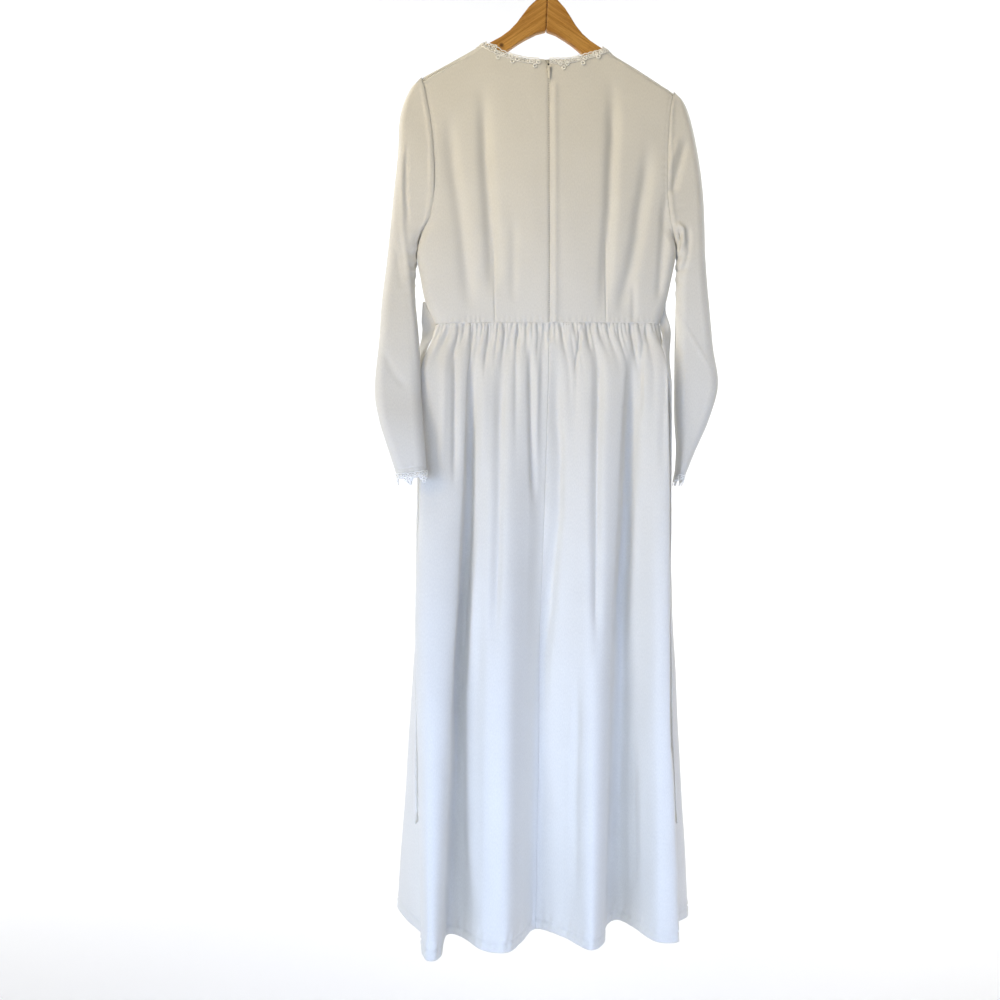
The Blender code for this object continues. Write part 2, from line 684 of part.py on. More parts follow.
SKIRT_FALLS = (0.0, 0.007, 0.016, 0.030, 0.050, 0.084, 0.160, 0.260, 0.370, 0.480, 0.600,
               0.730, 0.850)
SKIRT_COLUMNS = 60      # across the back, and as many across the front


def make_skirt(look):
    rows = [HEM_Z] + [WAIST_Z - fall for fall in reversed(SKIRT_FALLS)]
    centre = SKIRT_COLUMNS // 2
    for name, first, last in (
        ("skirt_back_left", 0, centre),
        ("skirt_back_right", centre, SKIRT_COLUMNS),
        ("skirt_front", SKIRT_COLUMNS, 2 * SKIRT_COLUMNS),
    ):
        us = [i / SKIRT_COLUMNS for i in range(first, last + 1)]
        cloth_panel(name, skirt_point, skirt_normal, us, rows, look, gaps=(1, 1, 0, 1))


# Sleeves

def sleeve_section(t, inner, outer, half, closing):
    """Distance out and depth of a sleeve's section; t from 0 at the back of the seam, round
    the outer edge at 0.5, to 1 at the front of the seam."""
    arc = min(half, (outer - inner) * 0.4)
    face = 1.0 if t <= 0.5 else -1.0
    s = t if t <= 0.5 else 1.0 - t
    if s < SLEEVE_BEND:
        turn = (1.0 - s / SLEEVE_BEND) * math.pi / 2
        shut = (inner + arc - arc * math.sin(turn), half * math.cos(turn))
        free = (inner + arc * s / SLEEVE_BEND, half)
    elif s < SLEEVE_EDGE:
        reach = (s - SLEEVE_BEND) / (SLEEVE_EDGE - SLEEVE_BEND)
        shut = (mix(inner + arc, outer - arc, reach), half)
        free = shut
    else:
        turn = (s - SLEEVE_EDGE) / (0.5 - SLEEVE_EDGE) * math.pi / 2
        shut = (outer - arc + arc * math.sin(turn), half * math.cos(turn))
        free = shut
    x, y = (mix(a, b, closing) for a, b in zip(free, shut))
    return x, -face * y


def sleeve_point(side):
    rows = LEFT_SLEEVE if side < 0 else RIGHT_SLEEVE
    back = back_point(side)

    def point(t, w):
        w = clamp(w)
        outer = along(rows, "v", w, "out_x")
        half = along(rows, "v", w, "half")
        if w < SLEEVE_UNDERARM:
            v = mix(1.0, UNDERARM_V, w / SLEEVE_UNDERARM)
            seams = (back(1.0, v), front_point(side, v))
            inner = abs(seams[0].x) + SEAM
            in_z = mix(seams[0].z, seams[1].z, clamp(t))
            closing = 1.0 - clamp(abs(seams[0].y) / half)
        else:
            inner = along(rows, "v", w, "in_x") + SEAM
            in_z = along(rows, "v", w, "in_z")
            closing = 1.0
        outer = max(outer, inner + 0.0004)
        x, y = sleeve_section(t, inner, outer, half, closing)
        rise = math.sin(math.pi * clamp(t)) ** mix(0.55, 1.0, clamp(w / 0.08))
        z = mix(in_z, along(rows, "v", w, "out_z"), rise)
        return Vector((side * x, y + along(rows, "v", w, "middle"), z))
    return point


def sleeve_normal(side, point):
    """Outward normals of a sleeve, across the seam along the armhole."""
    def normal(t, w):
        n = normal_at(point, t, w, 0.004, 0.004) * -side
        at_edge = t < 0.001 or t > 0.999
        if w < 0.001 or (at_edge and w < SLEEVE_UNDERARM - 0.001):
            n.x = 0.0
        return n.normalized()
    return normal


def sleeve_columns():
    ts = spread(0.0, SLEEVE_BEND, 3) + spread(SLEEVE_BEND, SLEEVE_EDGE, 2)[1:]
    ts += spread(SLEEVE_EDGE, 0.5, 3)[1:]
    return ts + [1.0 - t for t in reversed(ts[:-1])]


def make_sleeves(look):
    ts = sleeve_columns()
    cap = [SLEEVE_UNDERARM * (1.0 - v) / (1.0 - UNDERARM_V) for v in reversed(BODICE_ROWS)
           if v >= UNDERARM_V]
    ws = cap + spread(SLEEVE_UNDERARM, 1.0, SLEEVE_ROWS)[1:]
    for side, name in ((-1, "sleeve_left"), (1, "sleeve_right")):
        point = sleeve_point(side)
        normal = sleeve_normal(side, point)
        cloth_panel(name, point, normal, ts, ws, look, gaps=(1, 1, 0, 0))


# Ties

def make_ties(look):
    for name, rows in (("tie_left", LEFT_TIE), ("tie_right", RIGHT_TIE)):
        levels = [rows[0]["z"]]
        for high, low in zip(rows, rows[1:]):
            steps = max(1, round((high["z"] - low["z"]) / TIE_STEP))
            levels += spread(high["z"], low["z"], steps)[1:]
        outer, inner = [], []
        for z in reversed(levels):
            x, y, width, turn = (along(rows, "z", z, key) for key in ("x", "y", "width", "turn"))
            turn = math.radians(turn)
            across = Vector((math.cos(turn), math.sin(turn), 0.0))
            face = Vector((math.sin(turn), -math.cos(turn), 0.0))
            middle = Vector((x, y, z))
            edges = [middle + across * width * s for s in (-0.5, 0.5)]
            outer.append([edge + face * TIE_THICK / 2 for edge in edges])
            inner.append([edge - face * TIE_THICK / 2 for edge in edges])
        closed_wall(name, outer, inner, *look)


# Lace

def cluster_depth(d):
    """Depth of the lace's lower edge at a distance d from a cluster's middle."""
    depth = BAND
    for offset, middle in ((-RING, BAND), (RING, BAND), (0.0, BAND + 1.5 * RING)):
        across = abs(d - offset)
        if across < RING:
            depth = max(depth, middle + math.sqrt(RING**2 - across**2))
    return depth


def lace_stations(length, pitch, bends):
    """Distances along a trim, close together where a cluster hangs and at the cloth's bends,
    each with the depth of the lower edge."""
    count = max(1, round(length / pitch))
    step = length / count
    reach = (-2.0, -1.5, -1.0, -0.5, 0.0, 0.5, 1.0, 1.5, 2.0)
    stations = [0.0, length]
    for k in range(count):
        stations += [(k + 0.5) * step + r * RING for r in reach]
    for bend in bends:
        if min(abs(bend - s) for s in stations) > LACE_STEP:
            stations.append(bend)
    return [(s, cluster_depth(s % step - step / 2)) for s in sorted(stations)]


def distances(points):
    """Distance of each point along its row."""
    marks = [0.0]
    for a, b in zip(points, points[1:]):
        marks.append(marks[-1] + (b - a).length)
    return marks


def share_at(marks, distance):
    """Index and share of the stretch that holds a distance."""
    i = max(k for k in range(len(marks) - 1) if marks[k] <= distance + 1e-9)
    return i, clamp((distance - marks[i]) / (marks[i + 1] - marks[i]))


def ridge_way(side):
    """Unit vector outward along the shoulder ridge."""
    neck_x = side * NECK_X
    return Vector((side, 0.0, ridge_z(neck_x + side) - ridge_z(neck_x))).normalized()


def neck_edge(name):
    """Points along a stretch of the neck edge with the way down the cloth and its normal."""
    edge = []
    if name == "front":
        for side in (1, -1):
            neck_q = neck_share(side)
            x = side * neck_q * edge_of(side, 1.0)[0]
            ridge = ridge_z(x)
            down = ridge_way(side)
            arch = []
            for turn in spread(math.pi / 2 + SEAM_TURN - LACE_END_TURN, 0.0, WRAP_ROWS):
                n = Vector((0.0, math.cos(turn), math.sin(turn)))
                foot = Vector((x, 0.0, ridge - RIDGE_RADIUS))
                arch.append((foot + n * RIDGE_RADIUS, down, n))
            scoop = []
            for q in spread(neck_q, 0.0, 16)[1:-1]:
                p = front_point(side * q, 1.0)
                tangent = (front_point(side * (q - 0.002), 1.0) - p) * side
                n = normal_at(front_point, side * q, 1.0, 0.002, 0.002) * -1
                scoop.append((p, tangent.cross(n).normalized(), n))
            half = arch + scoop
            edge = edge + half if side > 0 else edge + list(reversed(half))
        return edge
    side = -1 if name == "back_left" else 1
    point = back_point(side)
    start = NOTCH_REACH if side < 0 else 0.0
    for q in spread(start, neck_share(side) - 0.002, 14):
        p = point(q, 1.0)
        tangent = (point(q + 0.002, 1.0) - p) * side
        n = normal_at(point, q, 1.0, 0.002, 0.002) * side
        down = tangent.cross(n).normalized()
        down = down.lerp(ridge_way(side), ease((q / neck_share(side) - 0.75) / 0.25))
        edge.append((p, down.normalized(), n))
    return edge


def make_neck_lace(look):
    for name in ("back_left", "back_right", "front"):
        edge = neck_edge(name)
        marks = distances([p for p, _, _ in edge])
        outer, inner = [[], []], [[], []]
        for s, depth in lace_stations(marks[-1], CLUSTER_PITCH, marks):
            i, share = share_at(marks, s)
            p, down, n = (a.lerp(b, share) for a, b in zip(edge[i], edge[i + 1]))
            for row, fall in enumerate((depth, -LACE_ABOVE)):
                spot = p + down.normalized() * fall
                inner[row].append(spot + n.normalized() * LACE_GAP)
                outer[row].append(spot + n.normalized() * (LACE_GAP + LACE))
        closed_wall("neck_lace_" + name, outer, inner, *look)


def make_cuff_lace(look):
    ts = sleeve_columns()
    for side, name in ((-1, "cuff_lace_left"), (1, "cuff_lace_right")):
        point = sleeve_point(side)
        marks = distances([point(t, 1.0) for t in ts])
        outer, inner = [[], []], [[], []]
        for s, depth in lace_stations(marks[-1], CUFF_PITCH, marks)[:-1]:
            i, share = share_at(marks, s)
            t = mix(ts[i], ts[i + 1], share)
            top = point(ts[i], CUFF_LACE_W).lerp(point(ts[i + 1], CUFF_LACE_W), share)
            foot = point(ts[i], 1.0).lerp(point(ts[i + 1], 1.0), share)
            n = normal_at(point, t, CUFF_LACE_W, 0.004, 0.004) * -side
            low = foot + (foot - top).normalized() * (depth + CUFF_BAND - BAND)
            for row, spot in enumerate((low, top)):
                inner[row].append(spot + n * LACE_GAP)
                outer[row].append(spot + n * (LACE_GAP + LACE))
        closed_wall(name, outer, inner, *look, ring=True)


# Hanger

def outline_solid(name, outline, half_depth_y, collection):
    """A flat outline in the XZ plane, as a mesh as thick as asked."""
    curve = bpy.data.curves.new(name, "CURVE")
    curve.dimensions = "2D"
    curve.fill_mode = "BOTH"
    curve.extrude = half_depth_y
    for loop in outline:
        spline = curve.splines.new("POLY")
        spline.points.add(len(loop) - 1)
        for point, (x, z) in zip(spline.points, loop):
            point.co = (x, z, 0.0, 1.0)
        spline.use_cyclic_u = True
    guide = bpy.data.objects.new(name + "_curve", curve)
    collection.objects.link(guide)
    bpy.context.view_layer.update()
    evaluated = guide.evaluated_get(bpy.context.evaluated_depsgraph_get())
    mesh = bpy.data.meshes.new_from_object(evaluated)
    bpy.data.objects.remove(guide)
    build = bmesh.new()
    build.from_mesh(mesh)
    bmesh.ops.remove_doubles(build, verts=build.verts, dist=0.00001)
    bmesh.ops.transform(build, matrix=Matrix.Rotation(math.pi / 2, 4, "X"), verts=build.verts)
    bmesh.ops.recalc_face_normals(build, faces=build.faces)
    build.to_mesh(mesh)
    build.free()
    mesh.name = name
    return mesh


def cylinder_mesh(name, radius, length, sides):
    mesh = bpy.data.meshes.new(name)
    build = bmesh.new()
    bmesh.ops.create_cone(build, cap_ends=True, segments=sides, radius1=radius, radius2=radius,
                          depth=length)
    build.to_mesh(mesh)
    build.free()
    return mesh


def add_bevel(obj, width, segments, degrees=35):
    bevel = obj.modifiers.new("edges", "BEVEL")
    bevel.width = width
    bevel.segments = segments
    bevel.limit_method = "ANGLE"
    bevel.angle_limit = math.radians(degrees)


def add_boolean(obj, tool, operation):
    cut = obj.modifiers.new(operation.lower(), "BOOLEAN")
    cut.operation = operation
    cut.solver = "EXACT"
    cut.object = tool


def hide_tool(tool):
    tool.hide_render = True
    tool.display_type = "WIRE"


def arm_outline():
    """Half outline of the hanger's wood, from its joint at the middle round the end."""
    upper = [(row["x"], row["z"]) for row in HANGER_UPPER]
    for x in (NECK_X, 0.115, 0.140, 0.165, 0.180):
        upper.append((x, NECK_RIDGE_Z - SHOULDER_SLOPE * (x - NECK_X) - HANGER_UNDER_RIDGE))
    end = [(row["x"], row["z"]) for row in HANGER_END]
    lower = [(row["x"], row["z"]) for row in HANGER_LOWER]
    half = SEAM / 2
    points = [(half, BOSS_TOP_Z)] + upper + end + lower
    return [(max(x, half), z) for x, z in points]


def make_hanger(wood, steel, collection, tools):
    tilt = Matrix.Rotation(TILT, 4, "Y")
    socket = bpy.data.objects.new("hook_socket", cylinder_mesh(
        "hook_socket", WIRE + SEAM, 2 * HOOK_SINK, 24))
    socket.matrix_world = tilt @ Matrix.Translation((0.0, 0.0, BOSS_TOP_Z))
    tools.objects.link(socket)
    hide_tool(socket)
    for side, name in ((-1, "hanger_arm_left"), (1, "hanger_arm_right")):
        outline = [(side * x, z) for x, z in arm_outline()]
        mesh = outline_solid(name, [outline], HANGER_HALF_DEPTH, collection)
        arm = new_object(name, mesh, wood, collection)
        arm.matrix_world = tilt
        add_bevel(arm, HANGER_EDGE, 2)
        add_boolean(arm, socket, "DIFFERENCE")
    curve = bpy.data.curves.new("hook", "CURVE")
    curve.dimensions = "3D"
    curve.bevel_depth = WIRE
    curve.bevel_resolution = 3
    curve.use_fill_caps = True
    centre_z = -WIRE - LOOP_RADIUS
    path = [(0.0, BOSS_TOP_Z - HOOK_SINK + SEAM), (0.0, BOSS_TOP_Z + 0.002)]
    turns = spread(math.radians(-90), math.radians(160), 20)
    path += [(LOOP_RADIUS * math.cos(a), centre_z + LOOP_RADIUS * math.sin(a)) for a in turns]
    spline = curve.splines.new("POLY")
    spline.points.add(len(path) - 1)
    for point, (x, z) in zip(spline.points, path):
        point.co = (x, 0.0, z, 1.0)
    guide = bpy.data.objects.new("hook_curve", curve)
    collection.objects.link(guide)
    bpy.context.view_layer.update()
    evaluated = guide.evaluated_get(bpy.context.evaluated_depsgraph_get())
    mesh = bpy.data.meshes.new_from_object(evaluated)
    bpy.data.objects.remove(guide)
    build = bmesh.new()
    build.from_mesh(mesh)
    bmesh.ops.remove_doubles(build, verts=build.verts, dist=0.00001)
    build.to_mesh(mesh)
    build.free()
    hook = new_object("hook", mesh, steel, collection)
    hook.matrix_world = tilt


# Zip

def zip_y(x, z):
    """Depth of the back's outer surface near the zip."""
    return -half_depth(x, WAIST_LEFT, z)


def make_zip(material, collection, tools):
    rows = spread(TAPE_FOOT_Z, TAPE_TOP_Z, 8)
    outer, inner = [], []
    for z in rows:
        behind = zip_y(0.0, z) + CLOTH + 2 * SEAM
        outer.append([Vector((x, behind, z)) for x in (-TAPE_HALF_WIDTH, TAPE_HALF_WIDTH)])
        inner.append([p + Vector((0.0, TAPE_THICK, 0.0)) for p in outer[-1]])
    closed_wall("zip_tape", outer, inner, material, collection)
    face_y = zip_y(0.0, SLIDER_Z) - 2 * SEAM - SLIDER_DEPTH
    slider = box("zip_slider", (SLIDER_X, face_y + SLIDER_DEPTH / 2, SLIDER_Z),
                 (SLIDER_WIDTH, SLIDER_DEPTH, SLIDER_HEIGHT), collection)
    slider.data.materials.append(material)
    for side in (-1, 1):
        lug = box("zip_lug_%d" % side, (SLIDER_X + side * LUG_X, face_y - LUG_REACH / 2, PIN_Z),
                  (LUG_WIDTH, LUG_REACH + 2 * SEAM, LUG_HEIGHT), tools)
        hide_tool(lug)
        add_boolean(slider, lug, "UNION")
    pin = bpy.data.objects.new("zip_pin", cylinder_mesh("zip_pin", PIN_RADIUS, 2 * LUG_X, 12))
    pin.matrix_world = Matrix.Translation((SLIDER_X, face_y - PIN_OUT, PIN_Z)) @ Matrix.Rotation(
        math.pi / 2, 4, "Y")
    tools.objects.link(pin)
    hide_tool(pin)
    add_boolean(slider, pin, "UNION")
    tab = new_object("zip_pull_tab", tab_mesh(collection), material, collection)
    tab.location = (SLIDER_X, face_y - PIN_OUT, PIN_Z)
    add_bevel(tab, TAB_EDGE, 1, 60)


def box(name, centre, size, collection):
    mesh = bpy.data.meshes.new(name)
    build = bmesh.new()
    bmesh.ops.create_cube(build, size=1.0)
    bmesh.ops.scale(build, vec=size, verts=build.verts)
    build.to_mesh(mesh)
    build.free()
    obj = bpy.data.objects.new(name, mesh)
    obj.location = centre
    collection.objects.link(obj)
    return obj


def tab_mesh(collection):
    """Flat pull tab hanging down, its barrel round the pin at the origin, the pin along X."""
    meet = math.asin(TAB_THICK / 2 / BARREL_RADIUS)
    turns = spread(meet - math.pi / 2, 3 * math.pi / 2 - meet, 14)
    outline = [(BARREL_RADIUS * math.cos(a), BARREL_RADIUS * math.sin(a)) for a in turns]
    outline += [(side * TAB_THICK / 2, -TAB_LENGTH) for side in (-1, 1)]
    turns = spread(0.0, 2 * math.pi, 12)[:-1]
    eye = [(EYE_RADIUS * math.cos(a), EYE_RADIUS * math.sin(a)) for a in turns]
    mesh = outline_solid("zip_pull_tab", [outline, eye], TAB_WIDTH / 2, collection)
    mesh.transform(Matrix.Rotation(math.pi / 2, 4, "Z"))
    return mesh


def make_materials():
    made = {}
    for name, (colour, roughness, metallic) in COLOURS.items():
        material = bpy.data.materials.new(name)
        material.use_nodes = True
        shader = material.node_tree.nodes["Principled BSDF"]
        shader.inputs["Base Color"].default_value = colour
        shader.inputs["Roughness"].default_value = roughness
        shader.inputs["Metallic"].default_value = metallic
        material.diffuse_color = colour
        made[name] = material
    return made


def main():
    for obj in list(bpy.data.objects):
        bpy.data.objects.remove(obj)
    dress = bpy.data.collections.new("lace maxi dress on a hanger")
    tools = bpy.data.collections.new("tools")
    for collection in (dress, tools):
        bpy.context.scene.collection.children.link(collection)
    looks = make_materials()
    cloth = (looks["cloth"], dress)
    lace = (looks["lace"], dress)
    make_bodice(cloth)
    make_skirt(cloth)
    make_sleeves(cloth)
    make_ties(cloth)
    make_neck_lace(lace)
    make_cuff_lace(lace)
    make_hanger(looks["wood"], looks["steel"], dress, tools)
    make_zip(looks["zip"], dress, tools)


main()
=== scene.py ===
"""Lace-trimmed maxi dress on a wooden hanger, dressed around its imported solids.

Metres, +Z up. The dress's back, with the zip, faces -Y, and the origin is the inside top of the
hanger's hook. The cloth panels follow the same sections as their solids, sampled finely, with their
gathers, creases, seams and hems.
"""
import math

import bpy
import numpy as np
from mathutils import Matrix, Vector


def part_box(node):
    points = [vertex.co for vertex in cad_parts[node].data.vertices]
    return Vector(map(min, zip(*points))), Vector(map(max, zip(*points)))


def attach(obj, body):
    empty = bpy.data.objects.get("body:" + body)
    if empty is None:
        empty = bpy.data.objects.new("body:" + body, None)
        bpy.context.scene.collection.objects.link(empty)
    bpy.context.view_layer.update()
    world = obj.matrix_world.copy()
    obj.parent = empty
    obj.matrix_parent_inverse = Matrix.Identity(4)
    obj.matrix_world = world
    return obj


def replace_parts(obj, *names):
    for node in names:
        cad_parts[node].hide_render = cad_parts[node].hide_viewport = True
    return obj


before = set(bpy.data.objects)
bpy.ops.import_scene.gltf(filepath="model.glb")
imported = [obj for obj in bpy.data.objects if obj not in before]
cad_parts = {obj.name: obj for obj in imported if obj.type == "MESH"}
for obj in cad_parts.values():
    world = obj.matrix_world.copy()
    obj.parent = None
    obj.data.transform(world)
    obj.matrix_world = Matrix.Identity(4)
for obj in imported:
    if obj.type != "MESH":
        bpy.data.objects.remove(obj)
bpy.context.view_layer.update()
bpy.ops.object.select_all(action="DESELECT")
DRESS = "dress_on_hanger"

# Cloth
SHELL = 0.0008          # thickness of the cloth as it shows

# Heights
WAIST_Z = -0.578
TOP_Z = -0.660          # below the gathers, where the folds have formed
MID_Z = -1.050
HEM_Z = -1.5407

# Waist
WAIST_LEFT = 0.1808
WAIST_RIGHT = 0.1766

# Shoulder ridge, along the hanger's arms
TILT = math.radians(2.6)
TILT_SHIFT = 0.0075
NECK_X = 0.0944
NECK_RIDGE_Z = -0.1320
SHOULDER_SLOPE = 0.605
RIDGE_RADIUS = 0.0130
SEAM_TURN = math.radians(60)
FRONT_NECK_DROP = 0.062
NOTCH_WIDTH = 0.0080
NOTCH_Z = -0.1690
NOTCH_REACH = 0.08
SLIDER_FOOT = -0.188    # height of the slider's lower end, where the zip's lap begins


def table(columns, *rows):
    """Rows of values as dictionaries with named columns."""
    return [dict(zip(columns, row)) for row in rows]


# Sides of the bodice, from the waist up the side seam, round the armhole to the shoulder
SIDES = table(
    ("place", "v", "left_x", "left_z", "right_x", "right_z"),
    ("waist", 0.00, 0.1808, -0.5780, 0.1766, -0.5780),
    ("tie root", 0.09, 0.1975, -0.5430, 0.1868, -0.5450),
    ("side", 0.18, 0.2052, -0.5060, 0.1950, -0.5080),
    ("underarm", 0.28, 0.2112, -0.4692, 0.2032, -0.4620),
    ("armhole low", 0.36, 0.2050, -0.4400, 0.1990, -0.4380),
    ("armhole", 0.44, 0.1900, -0.4120, 0.1925, -0.4120),
    ("armhole in", 0.55, 0.1832, -0.3700, 0.1882, -0.3720),
    ("armhole mid", 0.68, 0.1832, -0.3200, 0.1878, -0.3260),
    ("armhole high", 0.82, 0.1886, -0.2600, 0.1892, -0.2720),
    ("armhole top", 0.92, 0.1965, -0.2180, 0.1925, -0.2350),
    ("shoulder", 1.00, 0.2020, -0.1960, 0.1968, -0.2120),
)

UNDERARM_V = 0.28
ARMHOLE_OPEN_V = 0.46   # the armhole's edges are fully apart from here up

# Half depth of the bodice, at its centre and at its side
DEPTHS = table(
    ("z", "centre", "side"),
    (-0.578, 0.0250, 0.0180),
    (-0.470, 0.0280, 0.0165),
    (-0.350, 0.0240, 0.0150),
    (-0.250, 0.0170, 0.0140),
    (-0.190, 0.0135, 0.0130),
    (-0.120, 0.0130, 0.0130),
)

# Back neck edge, by distance from its own centre
NECKLINE = table(
    ("x", "z"),
    (0.000, -0.1580),
    (0.030, -0.1575),
    (0.050, -0.1530),
    (0.070, -0.1462),
    (0.086, -0.1394),
    (NECK_X, -0.1350),
)

# Sleeves: seam edge, outer edge, half depth and depth of the section's middle
LEFT_SLEEVE = table(
    ("place", "v", "in_x", "in_z", "out_x", "out_z", "half", "middle"),
    ("cap", 0.00, 0.2020, -0.1960, 0.2035, -0.1862, 0.0130, 0.000),
    ("cap 1", 0.05, 0.1965, -0.2180, 0.2232, -0.2040, 0.0132, 0.000),
    ("cap 2", 0.11, 0.1886, -0.2600, 0.2375, -0.2450, 0.0138, 0.000),
    ("arm 1", 0.18, 0.1832, -0.3200, 0.2425, -0.3080, 0.0146, 0.000),
    ("arm 2", 0.25, 0.1832, -0.3700, 0.2485, -0.3640, 0.0152, 0.000),
    ("arm 3", 0.32, 0.1900, -0.4120, 0.2530, -0.4120, 0.0158, 0.000),
    ("arm 4", 0.37, 0.2050, -0.4400, 0.2560, -0.4420, 0.0162, 0.000),
    ("underarm", 0.42, 0.2112, -0.4692, 0.2590, -0.4740, 0.0165, 0.000),
    ("upper arm", 0.52, 0.2130, -0.5350, 0.2645, -0.5350, 0.0165, -0.012),
    ("above elbow", 0.62, 0.2062, -0.6068, 0.2690, -0.6068, 0.0165, -0.026),
    ("elbow", 0.72, 0.2018, -0.6860, 0.2737, -0.6860, 0.0165, -0.040),
    ("forearm", 0.82, 0.1975, -0.7340, 0.2656, -0.7340, 0.0160, -0.057),
    ("forearm 2", 0.91, 0.1937, -0.7750, 0.2522, -0.7750, 0.0155, -0.068),
    ("cuff", 1.00, 0.1905, -0.8170, 0.2360, -0.8220, 0.0150, -0.076),
)
RIGHT_SLEEVE = table(
    ("place", "v", "in_x", "in_z", "out_x", "out_z", "half", "middle"),
    ("cap", 0.00, 0.1968, -0.2120, 0.1985, -0.2092, 0.0130, 0.000),
    ("cap 1", 0.05, 0.1925, -0.2350, 0.2160, -0.2240, 0.0132, 0.000),
    ("cap 2", 0.11, 0.1892, -0.2720, 0.2290, -0.2600, 0.0138, 0.000),
    ("arm 1", 0.18, 0.1878, -0.3260, 0.2405, -0.3180, 0.0146, 0.000),
    ("arm 2", 0.25, 0.1882, -0.3720, 0.2465, -0.3680, 0.0152, 0.000),
    ("arm 3", 0.32, 0.1925, -0.4120, 0.2488, -0.4130, 0.0158, 0.000),
    ("arm 4", 0.37, 0.1990, -0.4380, 0.2496, -0.4420, 0.0162, 0.000),
    ("underarm", 0.42, 0.2032, -0.4620, 0.2505, -0.4720, 0.0165, 0.000),
    ("upper arm", 0.52, 0.2040, -0.5350, 0.2570, -0.5350, 0.0165, 0.010),
    ("above elbow", 0.62, 0.2045, -0.6068, 0.2655, -0.6068, 0.0165, 0.018),
    ("elbow", 0.72, 0.2045, -0.6720, 0.2745, -0.6700, 0.0165, 0.022),
    ("forearm", 0.82, 0.2052, -0.7284, 0.2595, -0.7284, 0.0175, 0.024),
    ("forearm 2", 0.91, 0.2080, -0.7760, 0.2385, -0.7760, 0.0195, 0.024),
    ("cuff", 1.00, 0.2055, -0.8220, 0.2190, -0.8220, 0.0215, 0.024),
)

SLEEVE_UNDERARM = 0.42
SLEEVE_BEND = 0.14      # share of the section taken by the bend at the seam
SLEEVE_EDGE = 0.36      # share at which the outer edge's rounding begins

# Folds of the skirt round its ring: u from 0 at the left side seam over the back to 1 at the
# right one, and over the front to 2; x below the gathers, at mid height and at the hem
FOLDS = table(
    ("fold", "u", "x_top", "x_mid", "x_hem", "y_hem"),
    ("left seam", 0.000, -0.1935, -0.1965, -0.1990, -0.0330),
    ("left lobe edge", 0.050, -0.1995, -0.2088, -0.1985, -0.0881),
    ("left lobe", 0.110, -0.1700, -0.1850, -0.1850, -0.1270),
    ("left lobe in", 0.180, -0.1290, -0.1460, -0.1655, -0.1060),
    ("valley A", 0.205, -0.1220, -0.1400, -0.1615, -0.0345),
    ("A rise", 0.235, -0.1120, -0.1270, -0.1400, -0.0400),
    ("lobe 2 out", 0.300, -0.0860, -0.0970, -0.1060, -0.0900),
    ("lobe 2", 0.360, -0.0600, -0.0660, -0.0679, -0.0990),
    ("lobe 2 in", 0.430, -0.0300, -0.0380, -0.0445, -0.0600),
    ("centre seam", 0.500, -0.0010, -0.0135, -0.0215, -0.0095),
    ("lobe 3 out", 0.565, 0.0300, 0.0180, 0.0180, -0.0380),
    ("lobe 3", 0.680, 0.0790, 0.0650, 0.0580, -0.0890),
    ("B crest", 0.755, 0.1150, 0.0960, 0.0830, -0.0600),
    ("B flank", 0.800, 0.1260, 0.1060, 0.0919, 0.0040),
    ("valley B", 0.835, 0.1380, 0.1180, 0.1120, 0.0270),
    ("lobe 4 out", 0.872, 0.1510, 0.1360, 0.1326, -0.0012),
    ("lobe 4", 0.925, 0.1700, 0.1640, 0.1640, -0.0590),
    ("lobe 4 edge", 0.960, 0.1855, 0.1840, 0.1985, -0.0570),
    ("right seam", 1.000, 0.1870, 0.1840, 0.1935, -0.0020),
    ("front lobe 1", 1.045, 0.1890, 0.2025, 0.2310, 0.0479),
    ("front lobe 1 out", 1.085, 0.1780, 0.1920, 0.2140, 0.0950),
    ("front lobe 1 in", 1.125, 0.1580, 0.1680, 0.1770, 0.1120),
    ("front valley 1", 1.165, 0.1380, 0.1420, 0.1450, 0.0600),
    ("front rise 1", 1.215, 0.1180, 0.1190, 0.1180, 0.0500),
    ("front lobe 2 out", 1.285, 0.0900, 0.0920, 0.0900, 0.0980),
    ("front lobe 2", 1.353, 0.0600, 0.0600, 0.0580, 0.1180),
    ("front lobe 2 in", 1.420, 0.0320, 0.0310, 0.0300, 0.0850),
    ("front valley 2", 1.497, -0.0010, 0.0010, 0.0040, 0.0450),
    ("front rise 2", 1.570, -0.0320, -0.0310, -0.0300, 0.0650),
    ("front lobe 3", 1.648, -0.0650, -0.0660, -0.0660, 0.1220),
    ("front lobe 3 in", 1.720, -0.0950, -0.0980, -0.1000, 0.1000),
    ("front valley 3", 1.790, -0.1240, -0.1270, -0.1280, 0.0480),
    ("front rise 3", 1.847, -0.1480, -0.1530, -0.1580, 0.0600),
    ("front lobe 4", 1.900, -0.1730, -0.1820, -0.1950, 0.1180),
    ("front lobe 4 out", 1.935, -0.1880, -0.2050, -0.2320, 0.1180),
    ("front lobe 4 edge", 1.960, -0.1965, -0.2150, -0.2520, 0.0910),
    ("front return", 1.982, -0.1960, -0.2070, -0.2300, 0.0271),
    ("left seam again", 2.000, -0.1935, -0.1965, -0.1990, -0.0330),
)

# How the folds grow downward: share of their hem depth, and the mean depth of back and front
GROWTH = table(
    ("z", "share", "back_y", "front_y"),
    (HEM_Z, 1.00, -0.0500, 0.0850),
    (-1.300, 0.78, -0.0440, 0.0680),
    (MID_Z, 0.52, -0.0370, 0.0500),
    (-0.850, 0.30, -0.0310, 0.0370),
    (TOP_Z, 0.10, -0.0260, 0.0270),
    (WAIST_Z, 0.00, -0.0230, 0.0230),
)

